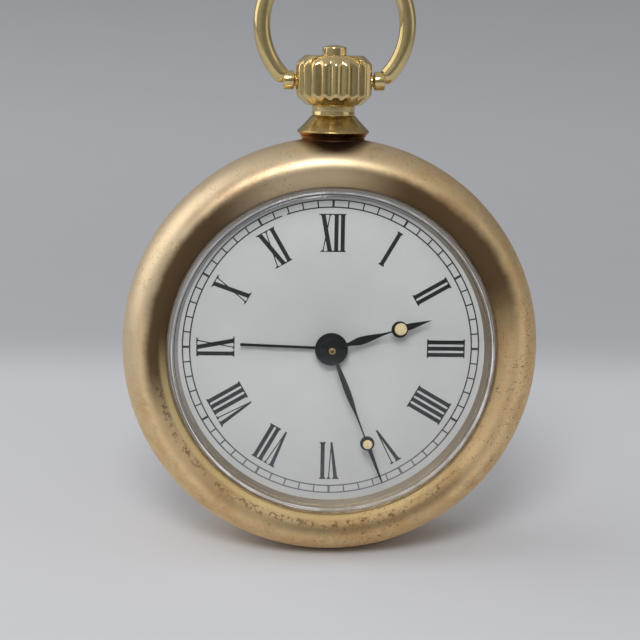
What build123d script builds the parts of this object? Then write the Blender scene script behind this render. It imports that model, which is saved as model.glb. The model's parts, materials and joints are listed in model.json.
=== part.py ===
from build123d import *
import math
import os

os.makedirs("parts", exist_ok=True)

# A desk alarm clock in the form of a large pocket watch, in millimetres and degrees.
# It stands on a small flat under its rim and leans back on a strut, with the dial facing -Y.
# "Height" below means the distance in front of the widest part of the rim, along the dial's axis.

# How the clock stands
lean_angle = 8
rest_flat_depth = 0.5
strut_spread = 10

# Case
case_radius = 37.5
rim_half_width = 5.1
rim_front_height = 8.0
rim_back_height = 13.0
rim_taper_start = 45
rim_front_steps = 3
rim_lip_steps = 2
rim_back_steps = 2
lip_width = 8.45
case_wall = 5.6
case_back_height = -12.0
rim_radius = case_radius - rim_half_width
lip_radius = case_radius - lip_width
case_bore_radius = case_radius - case_wall

# Dial and crystal
dial_height = 2.7
dial_thickness = 0.5
dial_edge_clearance = 0.3
dial_hole_clearance = 0.47
rehaut_width = 1.55
rehaut_height = 4.6
rehaut_edge = 0.7
rehaut_radius = lip_radius - rehaut_width
crystal_clearance = 0.05
crystal_wall = 1.4
crystal_wall_height = 5.9
crystal_inner_wall_height = 5.4
crystal_shoulder = 0.8
crystal_centre_height = 9.6
crystal_centre_thickness = 1.3
crystal_outer_steps = 3
crystal_inner_steps = 2

# Fits
running_clearance = 0.04
seat_clearance = 0.02
cut_overrun = 1.0

# Sides of the small round forms, which are drawn as regular polygons
hidden_sides = 8
fine_sides = 16
hand_sides = 24
collar_sides = 32
ring_sides = 48
case_sides = 72

# Movement plates and pillars. The movement is drawn for plates of the calibre's radius, and its
# plan grows with the plates.
front_plate_height = 0.4
plate_thickness = 1.2
plate_gap = 9.0
plate_clearance = 0.5
plate_radius = case_bore_radius - plate_clearance
plate_sides = 8
calibre_radius = 31.4
calibre = plate_radius / calibre_radius
pillar_radius = 1.5
pillar_margin = 4.9
pillar_distance = plate_radius - pillar_margin
pillar_direction = 112
pillar_count = 4
dial_foot_radius = 1.2
dial_foot_distance = pillar_distance
dial_foot_direction = 75
dial_foot_count = 3

# Arbors
arbor_radius = 0.7 * calibre
centre_arbor_radius = 1.0 * calibre
cannon_arbor_radius = 0.75 * calibre
minute_post_radius = 0.4 * calibre
centre_pin_radius = 0.58 * calibre
centre_pin_height = 6.6
barrel_arbor_radius = 1.3 * calibre
alarm_set_arbor_radius = 0.8 * calibre
cover_hole_clearance = 0.4
pipe_wall = 0.4 * calibre

# Hands
minute_hand_angle = 158.5
hour_hand_angle = 73.2
alarm_hand_angle = 272.1
hand_thickness = 0.25
alarm_hand_height = 3.25
hour_hand_height = 4.15
minute_hand_height = 5.05
minute_hand_margin = 1.6
minute_hand_length = rehaut_radius - minute_hand_margin
minute_boss_radius = 2.1 * calibre
minute_eye_share = 0.7027
minute_eye_distance = minute_hand_length * minute_eye_share
minute_eye_radius = 1.3
minute_lume_radius = 0.84
minute_lume_offset = 0.2
hour_hand_share = 0.71815
hour_hand_length = minute_hand_length * hour_hand_share
hour_boss_radius = 2.95 * calibre
hour_eye_share = 0.6828
hour_eye_distance = hour_hand_length * hour_eye_share
hour_eye_radius = 1.49
hour_lume_radius = 1.1
hour_lume_offset = 0.2
alarm_hand_share = 0.62934
alarm_hand_length = minute_hand_length * alarm_hand_share
alarm_boss_radius = 2.6 * calibre
alarm_hand_width = 0.42

# Tooth counts and modules of the gear trains
great_wheel_teeth = 36
centre_pinion_leaves = 6
great_wheel_module = 0.56 * calibre
centre_wheel_teeth = 48
third_pinion_leaves = 6
centre_wheel_module = 0.30 * calibre
third_wheel_teeth = 45
fourth_pinion_leaves = 6
third_wheel_module = 0.26 * calibre
fourth_wheel_teeth = 48
escape_pinion_leaves = 6
fourth_wheel_module = 0.22 * calibre
escape_wheel_teeth = 15
escape_wheel_radius = 3.3 * calibre
cannon_pinion_leaves = 8
minute_wheel_teeth = 24
cannon_pinion_module = 0.3125 * calibre
minute_pinion_leaves = 8
hour_wheel_teeth = 32
hour_wheel_module = 0.25 * calibre
alarm_wheel_teeth = 30
alarm_set_pinion_teeth = 12
alarm_wheel_module = 0.40 * calibre
alarm_escape_teeth = 14
alarm_escape_radius = 4.0 * calibre

# Directions of the arbors from the one that each is geared to, seen from the front
barrel_direction = 155
alarm_barrel_distance = 13.0 * calibre
alarm_barrel_direction = 27.5
third_direction = -120
fourth_direction = -40
escape_direction = 10
lever_direction = 26.7
lever_distance = 4.4 * calibre
balance_distance = 11.2 * calibre
minute_wheel_direction = 200
alarm_set_direction = -35
alarm_escape_direction = 145
hammer_direction = 142.4
hammer_distance = 6.95 * calibre

# Layers of the movement behind and before the front plate, as heights
great_wheel_layer = -2.2
great_wheel_thickness = 0.6
barrel_radius = 9.2 * calibre
barrel_back_height = -7.2
pinion_margin = 0.3
centre_wheel_layer = -9.2
third_wheel_layer = -7.8
fourth_wheel_layer = -4.5
escape_wheel_layer = -6.5
lever_layer = -7.4
balance_layer = -8.7
alarm_escape_layer = -8.4
wheel_thickness = 0.3
lever_thickness = 0.4
balance_thickness = 0.5
minute_wheel_layer = 0.5
hour_wheel_layer = 0.95
alarm_wheel_layer = 1.4
motion_wheel_thickness = 0.35

# Balance, lever and hammer
balance_radius = 5.5 * calibre
balance_rim_width = 0.9 * calibre
balance_spoke_width = 0.8 * calibre
impulse_pin_distance = 1.3 * calibre
pallet_pin_radius = 0.25 * calibre
pallet_pin_clearance = 0.3 * calibre
lever_height_clearance = 0.2
pallet_spread = 30
hammer_pin_clearance = 0.45 * calibre
hammer_arm_width = 1.4 * calibre
hammer_head_radius = 1.8 * calibre
hammer_head_gap = 0.9 * calibre
stop_pin_radius = 0.6 * calibre
stop_pin_place = (0.6 * calibre, 19.3 * calibre)

# Pendant, crown, button and bow
pendant_height = -2.0
pendant_bore_clearance = 0.2
neck_radius = 3.9
neck_spigot_radius = 2.4
neck_spigot_length = 4.2
collar_radius = 6.5
collar_foot_radius = 5.5
collar_seat_depth = 1.3
collar_foot_height = 1.1
collar_bowl_height = 1.45
collar_cone_height = 2.75
neck_length = 1.6
collar_foot = case_radius - collar_seat_depth
collar_bowl = collar_foot + collar_foot_height
collar_edge = collar_bowl + collar_bowl_height
collar_top = collar_edge + collar_cone_height
neck_bottom = collar_foot - neck_spigot_length
neck_top = collar_top + neck_length
crown_radius = 6.8
crown_foot_radius = 5.0
crown_top_radius = 5.4
crown_height = 8.9
crown_foot_height = 1.5
crown_shoulder_height = 1.3
crown_flutes = 20
crown_flute_depth = 0.55
button_radius = 2.2
button_stand = 1.8
button_length = 3.4
button_travel = 1.5
stop_rod_radius = 0.8
stop_rod_clearance = 2.9
stop_rod_end = stop_pin_place[1] + stop_rod_clearance
bow_radius = 13.0
bow_wire_radius = 1.5
bow_pivot_rise = 4.4
bow_boss_radius = 1.7
bow_boss_length = 2.0
bow_boss_clearance = 0.3
bow_wire_overlap = 1.4
bow_pivot_reach = crown_radius + bow_boss_clearance + bow_wire_overlap
bow_pin_radius = 1.0
bow_pin_depth = 2.2
bow_wire_sides = 8
bow_steps = 24

# Back cover, strut, keys and knobs
cover_thickness = 1.2
cover_edge_margin = 0.7
strut_hinge_drop = 11.0
hinge_plate_thickness = 0.8
hinge_plate_length = 4.0
hinge_width = 11.0
hinge_ear_width = 1.6
hinge_barrel_radius = 1.3
hinge_pin_radius = 0.6
hinge_side_gap = 0.15
strut_thickness = 1.2
strut_foot_width = 14.0
key_sleeve_radius = 2.1
key_sleeve_length = 4.5
key_standoff = 0.8
key_arbor_reach = 2.5
key_wing_span = 11.0
key_wing_length = 5.0
key_wing_waist = 3.0
key_wing_thickness = 1.2
time_knob_radius = 3.3
alarm_knob_radius = 2.7
knob_length = 3.5
knob_standoff = 1.0
knob_flutes = 16
knob_flute_depth = 0.3

full_turn = 360
half_turn = 180
quarter_turn = 90

# The dial's frame: x to the right, y towards twelve, z out of the dial, origin at the rim's centre
lean = math.radians(lean_angle)
rest_point_angle = math.atan2(rim_back_height * math.sin(lean), rim_half_width * math.cos(lean))
rest_point_radius = rim_radius + rim_half_width * math.cos(rest_point_angle)
rest_point_height = -rim_back_height * math.sin(rest_point_angle)
centre_z = rest_point_radius * math.cos(lean) - rest_point_height * math.sin(lean) - rest_flat_depth
centre_y = rest_point_radius * math.sin(lean) + rest_point_height * math.cos(lean)
dial_plane = Plane(
    origin=(0, centre_y, centre_z),
    x_dir=(1, 0, 0),
    z_dir=(0, -math.cos(lean), math.sin(lean)),
)
pendant_plane = dial_plane.offset(pendant_height)


def level(height):
    """The plane parallel to the dial at this height."""
    return dial_plane.offset(height)


def pendant_level(distance):
    """The plane square to the pendant's axis at this distance from the dial's axis."""
    origin = pendant_plane.from_local_coords((0, distance, 0))
    return Plane(origin=origin, x_dir=dial_plane.x_dir, z_dir=dial_plane.y_dir)


def arbor_section(place):
    """A plane through an arbor's own axis: x to the right from the arbor, y along the dial's axis."""
    origin = dial_plane.from_local_coords((place[0], place[1], 0))
    return Plane(origin=origin, x_dir=dial_plane.x_dir, z_dir=-dial_plane.y_dir)


def beside(place, distance, direction):
    """The point at this distance and direction from a place on the dial's plane."""
    angle = math.radians(direction)
    return (place[0] + distance * math.cos(angle), place[1] + distance * math.sin(angle))


def polar(radius, angle):
    return beside((0, 0), radius, angle)


def gear_points(teeth, module, phase, depth_shares, width_shares):
    """Corners of a gear: teeth with straight flanks, as shares of the module and of the tooth pitch."""
    pitch_radius = teeth * module / 2
    tip_radius = pitch_radius + depth_shares[0] * module
    root_radius = pitch_radius - depth_shares[1] * module
    pitch = full_turn / teeth
    points = []
    for tooth in range(teeth):
        middle = phase + tooth * pitch
        if width_shares[1] < 1:
            points.append(polar(root_radius, middle - pitch * width_shares[1] / 2))
        if width_shares[0] > 0:
            points.append(polar(tip_radius, middle - pitch * width_shares[0] / 2))
        points.append(polar(tip_radius, middle + pitch * width_shares[0] / 2))
        points.append(polar(root_radius, middle + pitch * width_shares[1] / 2))
    return points


def wheel_points(teeth, module, phase):
    return gear_points(teeth, module, phase, wheel_depth_shares, wheel_width_shares)


def pinion_points(leaves, module, phase):
    return gear_points(leaves, module, phase, pinion_depth_shares, pinion_width_shares)


def moved(points, place):
    """The same corners round another place on the dial's plane."""
    return [(place[0] + x, place[1] + y) for x, y in points]


def phase_in_mesh(teeth, other_teeth, other_phase, direction):
    """The angle of a gear's first tooth, from that of the gear it meshes with and the way to it."""
    turned = (other_phase - direction) * other_teeth / full_turn
    return direction + half_turn + (0.5 - turned) * full_turn / teeth


def fluted_points(radius, depth, flutes):
    """Corners of a round knob with V flutes."""
    step = full_turn / flutes
    points = []
    for flute in range(flutes):
        points.append(polar(radius, flute * step))
        points.append(polar(radius - depth, (flute + 0.5) * step))
    return points


def roll_points(height, start_angle, end_angle, steps):
    """Points of radius and height on the rim's rounded section, by the angle from its widest place."""
    points = []
    for step in range(steps + 1):
        angle = math.radians(start_angle + (end_angle - start_angle) * step / steps)
        points.append((rim_radius + rim_half_width * math.cos(angle), height * math.sin(angle)))
    return points


def dome_points(edge_radius, edge_height, centre_height, steps):
    """Points of radius and height on a shallow dome with a flat centre, from the edge inwards."""
    rise = centre_height - edge_height
    sphere_radius = (edge_radius**2 + rise**2) / (2 * rise)
    points = []
    for step in range(steps, 0, -1):
        radius = edge_radius * step / steps
        points.append((radius, centre_height - sphere_radius + math.sqrt(sphere_radius**2 - radius**2)))
    return points


def taper_between(ring, next_ring, sides):
    """The taper that takes a regular polygon from one ring's radius to the next one's."""
    inset = (ring[0] - next_ring[0]) * math.cos(math.pi / sides)
    return math.degrees(math.atan2(inset, next_ring[1] - ring[1]))


def bearing_hole(radius, mode=Mode.SUBTRACT):
    """The hole in which an arbor or pin of this radius turns."""
    RegularPolygon(radius + running_clearance, hidden_sides, major_radius=False, mode=mode)


def finish(part, name):
    part.label = name
    export_step(part, f"parts/{name}.step")


# Tooth forms: addendum and dedendum as shares of the module, tip and root widths as shares of the
# pitch. Wheel teeth come to a point and pinion leaves have a flat tip.
wheel_depth_shares = (0.90, 1.20)
wheel_width_shares = (0, 1)
pinion_depth_shares = (0.40, 1.15)
pinion_width_shares = (0.20, 0.42)
setting_pinion_depth_shares = (0.70, 1.15)
setting_pinion_width_shares = (0.14, 0.60)

# Places of the arbors on the dial's plane
centre = (0, 0)
barrel_distance = great_wheel_module * (great_wheel_teeth + centre_pinion_leaves) / 2
barrel_place = beside(centre, barrel_distance, barrel_direction)
third_distance = centre_wheel_module * (centre_wheel_teeth + third_pinion_leaves) / 2
third_place = beside(centre, third_distance, third_direction)
fourth_distance = third_wheel_module * (third_wheel_teeth + fourth_pinion_leaves) / 2
fourth_place = beside(third_place, fourth_distance, fourth_direction)
escape_distance = fourth_wheel_module * (fourth_wheel_teeth + escape_pinion_leaves) / 2
escape_place = beside(fourth_place, escape_distance, escape_direction)
lever_place = beside(escape_place, lever_distance, lever_direction)
balance_place = beside(escape_place, balance_distance, lever_direction)
minute_wheel_distance = cannon_pinion_module * (cannon_pinion_leaves + minute_wheel_teeth) / 2
minute_wheel_place = beside(centre, minute_wheel_distance, minute_wheel_direction)
alarm_set_distance = alarm_wheel_module * (alarm_wheel_teeth + alarm_set_pinion_teeth) / 2
alarm_set_place = beside(centre, alarm_set_distance, alarm_set_direction)
alarm_barrel_place = beside(centre, alarm_barrel_distance, alarm_barrel_direction)
alarm_escape_place = beside(alarm_barrel_place, barrel_distance, alarm_escape_direction)
hammer_place = beside(alarm_escape_place, hammer_distance, hammer_direction)
train_places = [
    third_place,
    fourth_place,
    escape_place,
    lever_place,
    balance_place,
    alarm_escape_place,
    hammer_place,
]
barrel_places = [barrel_place, alarm_barrel_place]

# Angles of the first teeth, so that every pair is in mesh at rest
great_wheel_phase = barrel_direction + half_turn
centre_pinion_phase = phase_in_mesh(
    centre_pinion_leaves, great_wheel_teeth, great_wheel_phase, great_wheel_phase
)
centre_wheel_phase = third_direction
third_pinion_phase = phase_in_mesh(
    third_pinion_leaves, centre_wheel_teeth, centre_wheel_phase, third_direction
)
third_wheel_phase = fourth_direction
fourth_pinion_phase = phase_in_mesh(
    fourth_pinion_leaves, third_wheel_teeth, third_wheel_phase, fourth_direction
)
fourth_wheel_phase = escape_direction
escape_pinion_phase = phase_in_mesh(
    escape_pinion_leaves, fourth_wheel_teeth, fourth_wheel_phase, escape_direction
)
cannon_pinion_phase = minute_wheel_direction
minute_wheel_phase = phase_in_mesh(
    minute_wheel_teeth, cannon_pinion_leaves, cannon_pinion_phase, minute_wheel_direction
)
hour_wheel_phase = minute_wheel_direction
minute_pinion_phase = phase_in_mesh(
    minute_pinion_leaves, hour_wheel_teeth, hour_wheel_phase, minute_wheel_direction
)
alarm_wheel_phase = alarm_set_direction
alarm_set_pinion_phase = phase_in_mesh(
    alarm_set_pinion_teeth, alarm_wheel_teeth, alarm_wheel_phase, alarm_set_direction
)
alarm_great_wheel_phase = alarm_escape_direction
alarm_escape_pinion_phase = phase_in_mesh(
    centre_pinion_leaves, great_wheel_teeth, alarm_great_wheel_phase, alarm_escape_direction
)

# Heights of the plates' faces
front_plate_back = front_plate_height - plate_thickness
back_plate_front = front_plate_back - plate_gap
back_plate_back = back_plate_front - plate_thickness
cover_back_height = case_back_height - cover_thickness
arbor_end_margin = plate_thickness / 10


# Case shell: a fat rolled rim that tapers to the back, bored for the movement. Each pair of rings
# is a radius and a height, and the case is tapered from ring to ring.
lip_angle = math.degrees(math.acos((lip_radius - rim_radius) / rim_half_width))
back_roll = roll_points(-rim_back_height, rim_taper_start, 0, rim_back_steps)
front_roll = roll_points(rim_front_height, 0, quarter_turn, rim_front_steps)
lip_roll = roll_points(rim_front_height, lip_angle, quarter_turn, rim_lip_steps)
taper_slope = rim_half_width * math.tan(math.radians(rim_taper_start)) / rim_back_height
taper_radius, taper_height = back_roll[0]
case_back_radius = taper_radius - taper_slope * (taper_height - case_back_height)
case_outer_rings = [(case_back_radius, case_back_height)] + back_roll + front_roll[1:]
case_bore_rings = [(case_bore_radius, case_back_height), (case_bore_radius, dial_height)]
case_lip_rings = [(lip_radius, dial_height)] + lip_roll
with BuildPart() as case_shell:
    for rings, mode in (
        (case_outer_rings, Mode.ADD),
        (case_bore_rings, Mode.SUBTRACT),
        (case_lip_rings, Mode.SUBTRACT),
    ):
        for ring, next_ring in zip(rings, rings[1:]):
            with BuildSketch(level(ring[1])):
                RegularPolygon(ring[0], case_sides)
            extrude(
                amount=next_ring[1] - ring[1], taper=taper_between(ring, next_ring, case_sides), mode=mode
            )
    with BuildSketch(pendant_level(collar_foot)):
        RegularPolygon(collar_foot_radius, collar_sides)
    extrude(amount=case_radius - collar_foot + cut_overrun, mode=Mode.SUBTRACT)
    with BuildSketch(pendant_level(neck_bottom - cut_overrun)):
        RegularPolygon(neck_spigot_radius, fine_sides)
    extrude(amount=case_radius - neck_bottom + cut_overrun, mode=Mode.SUBTRACT)
    split(bisect_by=Plane.XY, keep=Keep.TOP)
finish(case_shell.part, "case_shell")

# Crystal: a domed watch glass held in the lip by its edge
crystal_radius = lip_radius - crystal_clearance
crystal_dome_radius = crystal_radius - crystal_shoulder
crystal_inner_radius = crystal_radius - crystal_wall
outer_dome = dome_points(
    crystal_dome_radius, crystal_wall_height + crystal_shoulder, crystal_centre_height, crystal_outer_steps
)
inner_dome = dome_points(
    crystal_inner_radius,
    crystal_inner_wall_height,
    crystal_centre_height - crystal_centre_thickness,
    crystal_inner_steps,
)
crystal_walls = [(crystal_radius, rehaut_height), (crystal_radius, crystal_wall_height)]
outer_rings = crystal_walls + outer_dome
inner_rings = [(crystal_inner_radius, rehaut_height)] + inner_dome
with BuildPart() as crystal:
    for rings, mode in ((outer_rings, Mode.ADD), (inner_rings, Mode.SUBTRACT)):
        for ring, next_ring in zip(rings, rings[1:]):
            with BuildSketch(level(ring[1])):
                RegularPolygon(ring[0], ring_sides)
            extrude(
                amount=next_ring[1] - ring[1], taper=taper_between(ring, next_ring, ring_sides), mode=mode
            )
finish(crystal.part, "crystal")

# Rehaut: the silvered sloping ring between the dial and the crystal
with BuildPart() as rehaut_ring:
    with BuildSketch(level(dial_height)):
        RegularPolygon(crystal_radius, ring_sides)
    extrude(amount=rehaut_height - dial_height)
    for radius, height in ((rehaut_radius, dial_height), (crystal_radius - rehaut_edge, rehaut_height)):
        with BuildSketch(level(height)):
            RegularPolygon(radius, ring_sides)
    loft(ruled=True, mode=Mode.SUBTRACT)
finish(rehaut_ring.part, "rehaut_ring")

# Dial: a flat disc clamped behind the case's inner shoulder
dial_radius = case_bore_radius - dial_edge_clearance
hour_pipe_inner = cannon_arbor_radius + running_clearance
hour_pipe_radius = hour_pipe_inner + pipe_wall
alarm_pipe_inner = hour_pipe_radius + running_clearance
alarm_pipe_radius = alarm_pipe_inner + pipe_wall
with BuildPart() as dial:
    with BuildSketch(level(dial_height - dial_thickness)):
        RegularPolygon(dial_radius, ring_sides)
        RegularPolygon(alarm_pipe_radius + dial_hole_clearance, fine_sides, mode=Mode.SUBTRACT)
    extrude(amount=dial_thickness)
finish(dial.part, "dial")


# Hands: flat outlines laid along their own clock angle
def hand_plane(clock_angle, height):
    """A plane whose x axis points along a hand."""
    angle = math.radians(clock_angle)
    x_dir = dial_plane.x_dir * math.sin(angle) + dial_plane.y_dir * math.cos(angle)
    return Plane(origin=level(height).origin, x_dir=x_dir, z_dir=dial_plane.z_dir)


def mirrored(stations):
    """A closed outline from pairs of distance and half width, listed from boss to tip."""
    return stations + [(x, -y) for x, y in reversed(stations)]


# Each pair is a distance along the hand and a half width there, as shares of the hand's length
hour_leaf_shares = [(0, 0.017), (0.150, 0.017), (0.215, 0.034), (0.269, 0.038), (0.344, 0.036)]
hour_leaf_shares += [(0.452, 0.021), (0.591, 0.0073), (0.645, 0.0073)]
hour_tip_shares = [(0.700, 0.034), (0.785, 0.032), (1, 0.002)]
minute_leaf_shares = [(0, 0.0116), (0.077, 0.0116), (0.197, 0.019), (0.313, 0.0208), (0.398, 0.0162)]
minute_leaf_shares += [(0.475, 0.0087), (0.583, 0.0052), (0.668, 0.0052)]
minute_tip_shares = [(0.712, 0.013), (0.775, 0.0130), (1, 0.0025)]

with BuildPart() as hour_hand:
    with BuildSketch(hand_plane(hour_hand_angle, hour_hand_height)):
        RegularPolygon(hour_boss_radius, hand_sides)
        for shares in (hour_leaf_shares, hour_tip_shares):
            outline = [(x * hour_hand_length, y * hour_hand_length) for x, y in shares]
            with BuildLine():
                Polyline(*mirrored(outline), close=True)
            make_face()
        with Locations((hour_eye_distance, 0)):
            RegularPolygon(hour_eye_radius, hand_sides)
        with Locations((hour_eye_distance + hour_lume_offset, 0)):
            RegularPolygon(hour_lume_radius, hand_sides, mode=Mode.SUBTRACT)
        RegularPolygon(hour_pipe_radius, fine_sides, mode=Mode.SUBTRACT)
    extrude(amount=hand_thickness)
finish(hour_hand.part, "hour_hand")

with BuildPart() as hour_hand_lume:
    with BuildSketch(hand_plane(hour_hand_angle, hour_hand_height)):
        with Locations((hour_eye_distance + hour_lume_offset, 0)):
            RegularPolygon(hour_lume_radius - seat_clearance, hand_sides)
    extrude(amount=hand_thickness)
finish(hour_hand_lume.part, "hour_hand_lume")

with BuildPart() as minute_hand:
    with BuildSketch(hand_plane(minute_hand_angle, minute_hand_height)):
        RegularPolygon(minute_boss_radius, hand_sides)
        for shares in (minute_leaf_shares, minute_tip_shares):
            outline = [(x * minute_hand_length, y * minute_hand_length) for x, y in shares]
            with BuildLine():
                Polyline(*mirrored(outline), close=True)
            make_face()
        with Locations((minute_eye_distance, 0)):
            RegularPolygon(minute_eye_radius, hand_sides)
        with Locations((minute_eye_distance + minute_lume_offset, 0)):
            RegularPolygon(minute_lume_radius, hand_sides, mode=Mode.SUBTRACT)
        RegularPolygon(centre_pin_radius, fine_sides, mode=Mode.SUBTRACT)
    extrude(amount=hand_thickness)
finish(minute_hand.part, "minute_hand")

with BuildPart() as minute_hand_lume:
    with BuildSketch(hand_plane(minute_hand_angle, minute_hand_height)):
        with Locations((minute_eye_distance + minute_lume_offset, 0)):
            RegularPolygon(minute_lume_radius - seat_clearance, hand_sides)
    extrude(amount=hand_thickness)
finish(minute_hand_lume.part, "minute_hand_lume")

with BuildPart() as alarm_hand:
    with BuildSketch(hand_plane(alarm_hand_angle, alarm_hand_height)):
        RegularPolygon(alarm_boss_radius, hand_sides)
        with Locations((alarm_hand_length / 2, 0)):
            Rectangle(alarm_hand_length, alarm_hand_width)
        RegularPolygon(alarm_pipe_radius, fine_sides, mode=Mode.SUBTRACT)
    extrude(amount=hand_thickness)
finish(alarm_hand.part, "alarm_hand")

# Movement plates: eight-sided, so that their corners centre them in the case
pivot_holes = [
    (arbor_radius, train_places),
    (centre_arbor_radius, [centre]),
    (barrel_arbor_radius, barrel_places),
    (alarm_set_arbor_radius, [alarm_set_place]),
]
minute_post_top = alarm_wheel_layer - running_clearance
with BuildPart() as front_plate:
    with BuildSketch(level(front_plate_back)):
        RegularPolygon(plate_radius, plate_sides)
        for radius, places in pivot_holes:
            with Locations(*places):
                bearing_hole(radius)
    extrude(amount=plate_thickness)
    with BuildSketch(level(front_plate_height)):
        with Locations(minute_wheel_place):
            RegularPolygon(minute_post_radius, hidden_sides)
    extrude(amount=minute_post_top - front_plate_height)
finish(front_plate.part, "front_plate")

with BuildPart() as back_plate:
    with BuildSketch(level(back_plate_back)):
        RegularPolygon(plate_radius, plate_sides)
        for radius, places in pivot_holes:
            with Locations(*places):
                bearing_hole(radius)
    extrude(amount=plate_thickness)
finish(back_plate.part, "back_plate")

with BuildPart() as plate_pillars:
    with BuildSketch(level(back_plate_front)):
        with PolarLocations(pillar_distance, pillar_count, pillar_direction):
            RegularPolygon(pillar_radius, hidden_sides)
    extrude(amount=plate_gap)
finish(plate_pillars.part, "plate_pillars")

with BuildPart() as dial_feet:
    with BuildSketch(level(front_plate_height)):
        with PolarLocations(dial_foot_distance, dial_foot_count, dial_foot_direction):
            RegularPolygon(dial_foot_radius, hidden_sides)
    extrude(amount=dial_height - dial_thickness - front_plate_height)
finish(dial_feet.part, "dial_feet")


# Going train
def pinion_layer(wheel_layer, thickness):
    """Lowest height and length of a pinion that overhangs its wheel on both sides."""
    return wheel_layer - pinion_margin, thickness + 2 * pinion_margin


arbor_low = back_plate_back + arbor_end_margin
arbor_length = front_plate_height - arbor_end_margin - arbor_low


def train_wheel(name, place, pinion, wheel):
    """An arbor with a pinion and a wheel; each is points, lowest height and thickness."""
    with BuildPart() as train:
        with BuildSketch(level(arbor_low)):
            with Locations(place):
                RegularPolygon(arbor_radius, hidden_sides)
        extrude(amount=arbor_length)
        for points, low, thickness in (pinion, wheel):
            with BuildSketch(level(low)):
                with BuildLine():
                    Polyline(*moved(points, place), close=True)
                make_face()
            extrude(amount=thickness)
    finish(train.part, name)


def barrel(name, place, phase):
    """A spring barrel: the toothed great wheel on a closed drum, free on its arbor."""
    points = wheel_points(great_wheel_teeth, great_wheel_module, phase)
    with BuildPart() as drum:
        with BuildSketch(level(great_wheel_layer)):
            with BuildLine():
                Polyline(*moved(points, place), close=True)
            make_face()
            with Locations(place):
                bearing_hole(barrel_arbor_radius)
        extrude(amount=great_wheel_thickness)
        with BuildSketch(level(barrel_back_height)):
            with Locations(place):
                RegularPolygon(barrel_radius, hand_sides)
                bearing_hole(barrel_arbor_radius)
        extrude(amount=great_wheel_layer - barrel_back_height)
    finish(drum.part, name)


barrel("main_barrel", barrel_place, great_wheel_phase)
barrel("alarm_barrel", alarm_barrel_place, alarm_great_wheel_phase)

centre_pinion_low, centre_pinion_length = pinion_layer(great_wheel_layer, great_wheel_thickness)
knob_low = cover_back_height - knob_standoff - knob_length
centre_pinion_points = pinion_points(centre_pinion_leaves, great_wheel_module, centre_pinion_phase)
with BuildPart() as centre_arbor:
    with BuildSketch(level(knob_low)):
        RegularPolygon(centre_arbor_radius, hidden_sides)
    extrude(amount=front_plate_height - knob_low)
    with BuildSketch(level(front_plate_height)):
        RegularPolygon(cannon_arbor_radius, hidden_sides)
    extrude(amount=minute_hand_height - front_plate_height)
    with BuildSketch(level(minute_hand_height)):
        RegularPolygon(centre_pin_radius, fine_sides)
    extrude(amount=centre_pin_height - minute_hand_height)
    with BuildSketch(level(centre_pinion_low)):
        with BuildLine():
            Polyline(*centre_pinion_points, close=True)
        make_face()
    extrude(amount=centre_pinion_length)
finish(centre_arbor.part, "centre_arbor")

with BuildPart() as cannon_pinion:
    with BuildSketch(level(minute_wheel_layer)):
        with BuildLine():
            Polyline(
                *pinion_points(cannon_pinion_leaves, cannon_pinion_module, cannon_pinion_phase),
                close=True,
            )
        make_face()
        RegularPolygon(cannon_arbor_radius, hidden_sides, mode=Mode.SUBTRACT)
    extrude(amount=motion_wheel_thickness)
finish(cannon_pinion.part, "cannon_pinion")

with BuildPart() as centre_wheel:
    with BuildSketch(level(centre_wheel_layer)):
        with BuildLine():
            Polyline(
                *wheel_points(centre_wheel_teeth, centre_wheel_module, centre_wheel_phase), close=True
            )
        make_face()
        RegularPolygon(centre_arbor_radius, hidden_sides, mode=Mode.SUBTRACT)
    extrude(amount=wheel_thickness)
finish(centre_wheel.part, "centre_wheel")

third_pinion_points = pinion_points(third_pinion_leaves, centre_wheel_module, third_pinion_phase)
third_wheel_points = wheel_points(third_wheel_teeth, third_wheel_module, third_wheel_phase)
train_wheel(
    "third_wheel",
    third_place,
    (third_pinion_points, *pinion_layer(centre_wheel_layer, wheel_thickness)),
    (third_wheel_points, third_wheel_layer, wheel_thickness),
)
fourth_pinion_points = pinion_points(fourth_pinion_leaves, third_wheel_module, fourth_pinion_phase)
fourth_wheel_points = wheel_points(fourth_wheel_teeth, fourth_wheel_module, fourth_wheel_phase)
train_wheel(
    "fourth_wheel",
    fourth_place,
    (fourth_pinion_points, *pinion_layer(third_wheel_layer, wheel_thickness)),
    (fourth_wheel_points, fourth_wheel_layer, wheel_thickness),
)

# Escape wheels: pointed teeth that lean forward
escape_root_share = 0.72
escape_lean_share = 0.30


def escape_points(teeth, radius):
    """Corners of an escape wheel, one pointed tooth and one root corner each."""
    pitch = full_turn / teeth
    points = []
    for tooth in range(teeth):
        points.append(polar(radius, (tooth + escape_lean_share) * pitch))
        points.append(polar(radius * escape_root_share, (tooth + 0.5) * pitch))
    return points


escape_pinion_points = pinion_points(escape_pinion_leaves, fourth_wheel_module, escape_pinion_phase)
train_wheel(
    "escape_wheel",
    escape_place,
    (escape_pinion_points, *pinion_layer(fourth_wheel_layer, wheel_thickness)),
    (escape_points(escape_wheel_teeth, escape_wheel_radius), escape_wheel_layer, wheel_thickness),
)
alarm_pinion_points = pinion_points(
    centre_pinion_leaves, great_wheel_module, alarm_escape_pinion_phase
)
train_wheel(
    "alarm_escape_wheel",
    alarm_escape_place,
    (alarm_pinion_points, *pinion_layer(great_wheel_layer, great_wheel_thickness)),
    (escape_points(alarm_escape_teeth, alarm_escape_radius), alarm_escape_layer, wheel_thickness),
)

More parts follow.
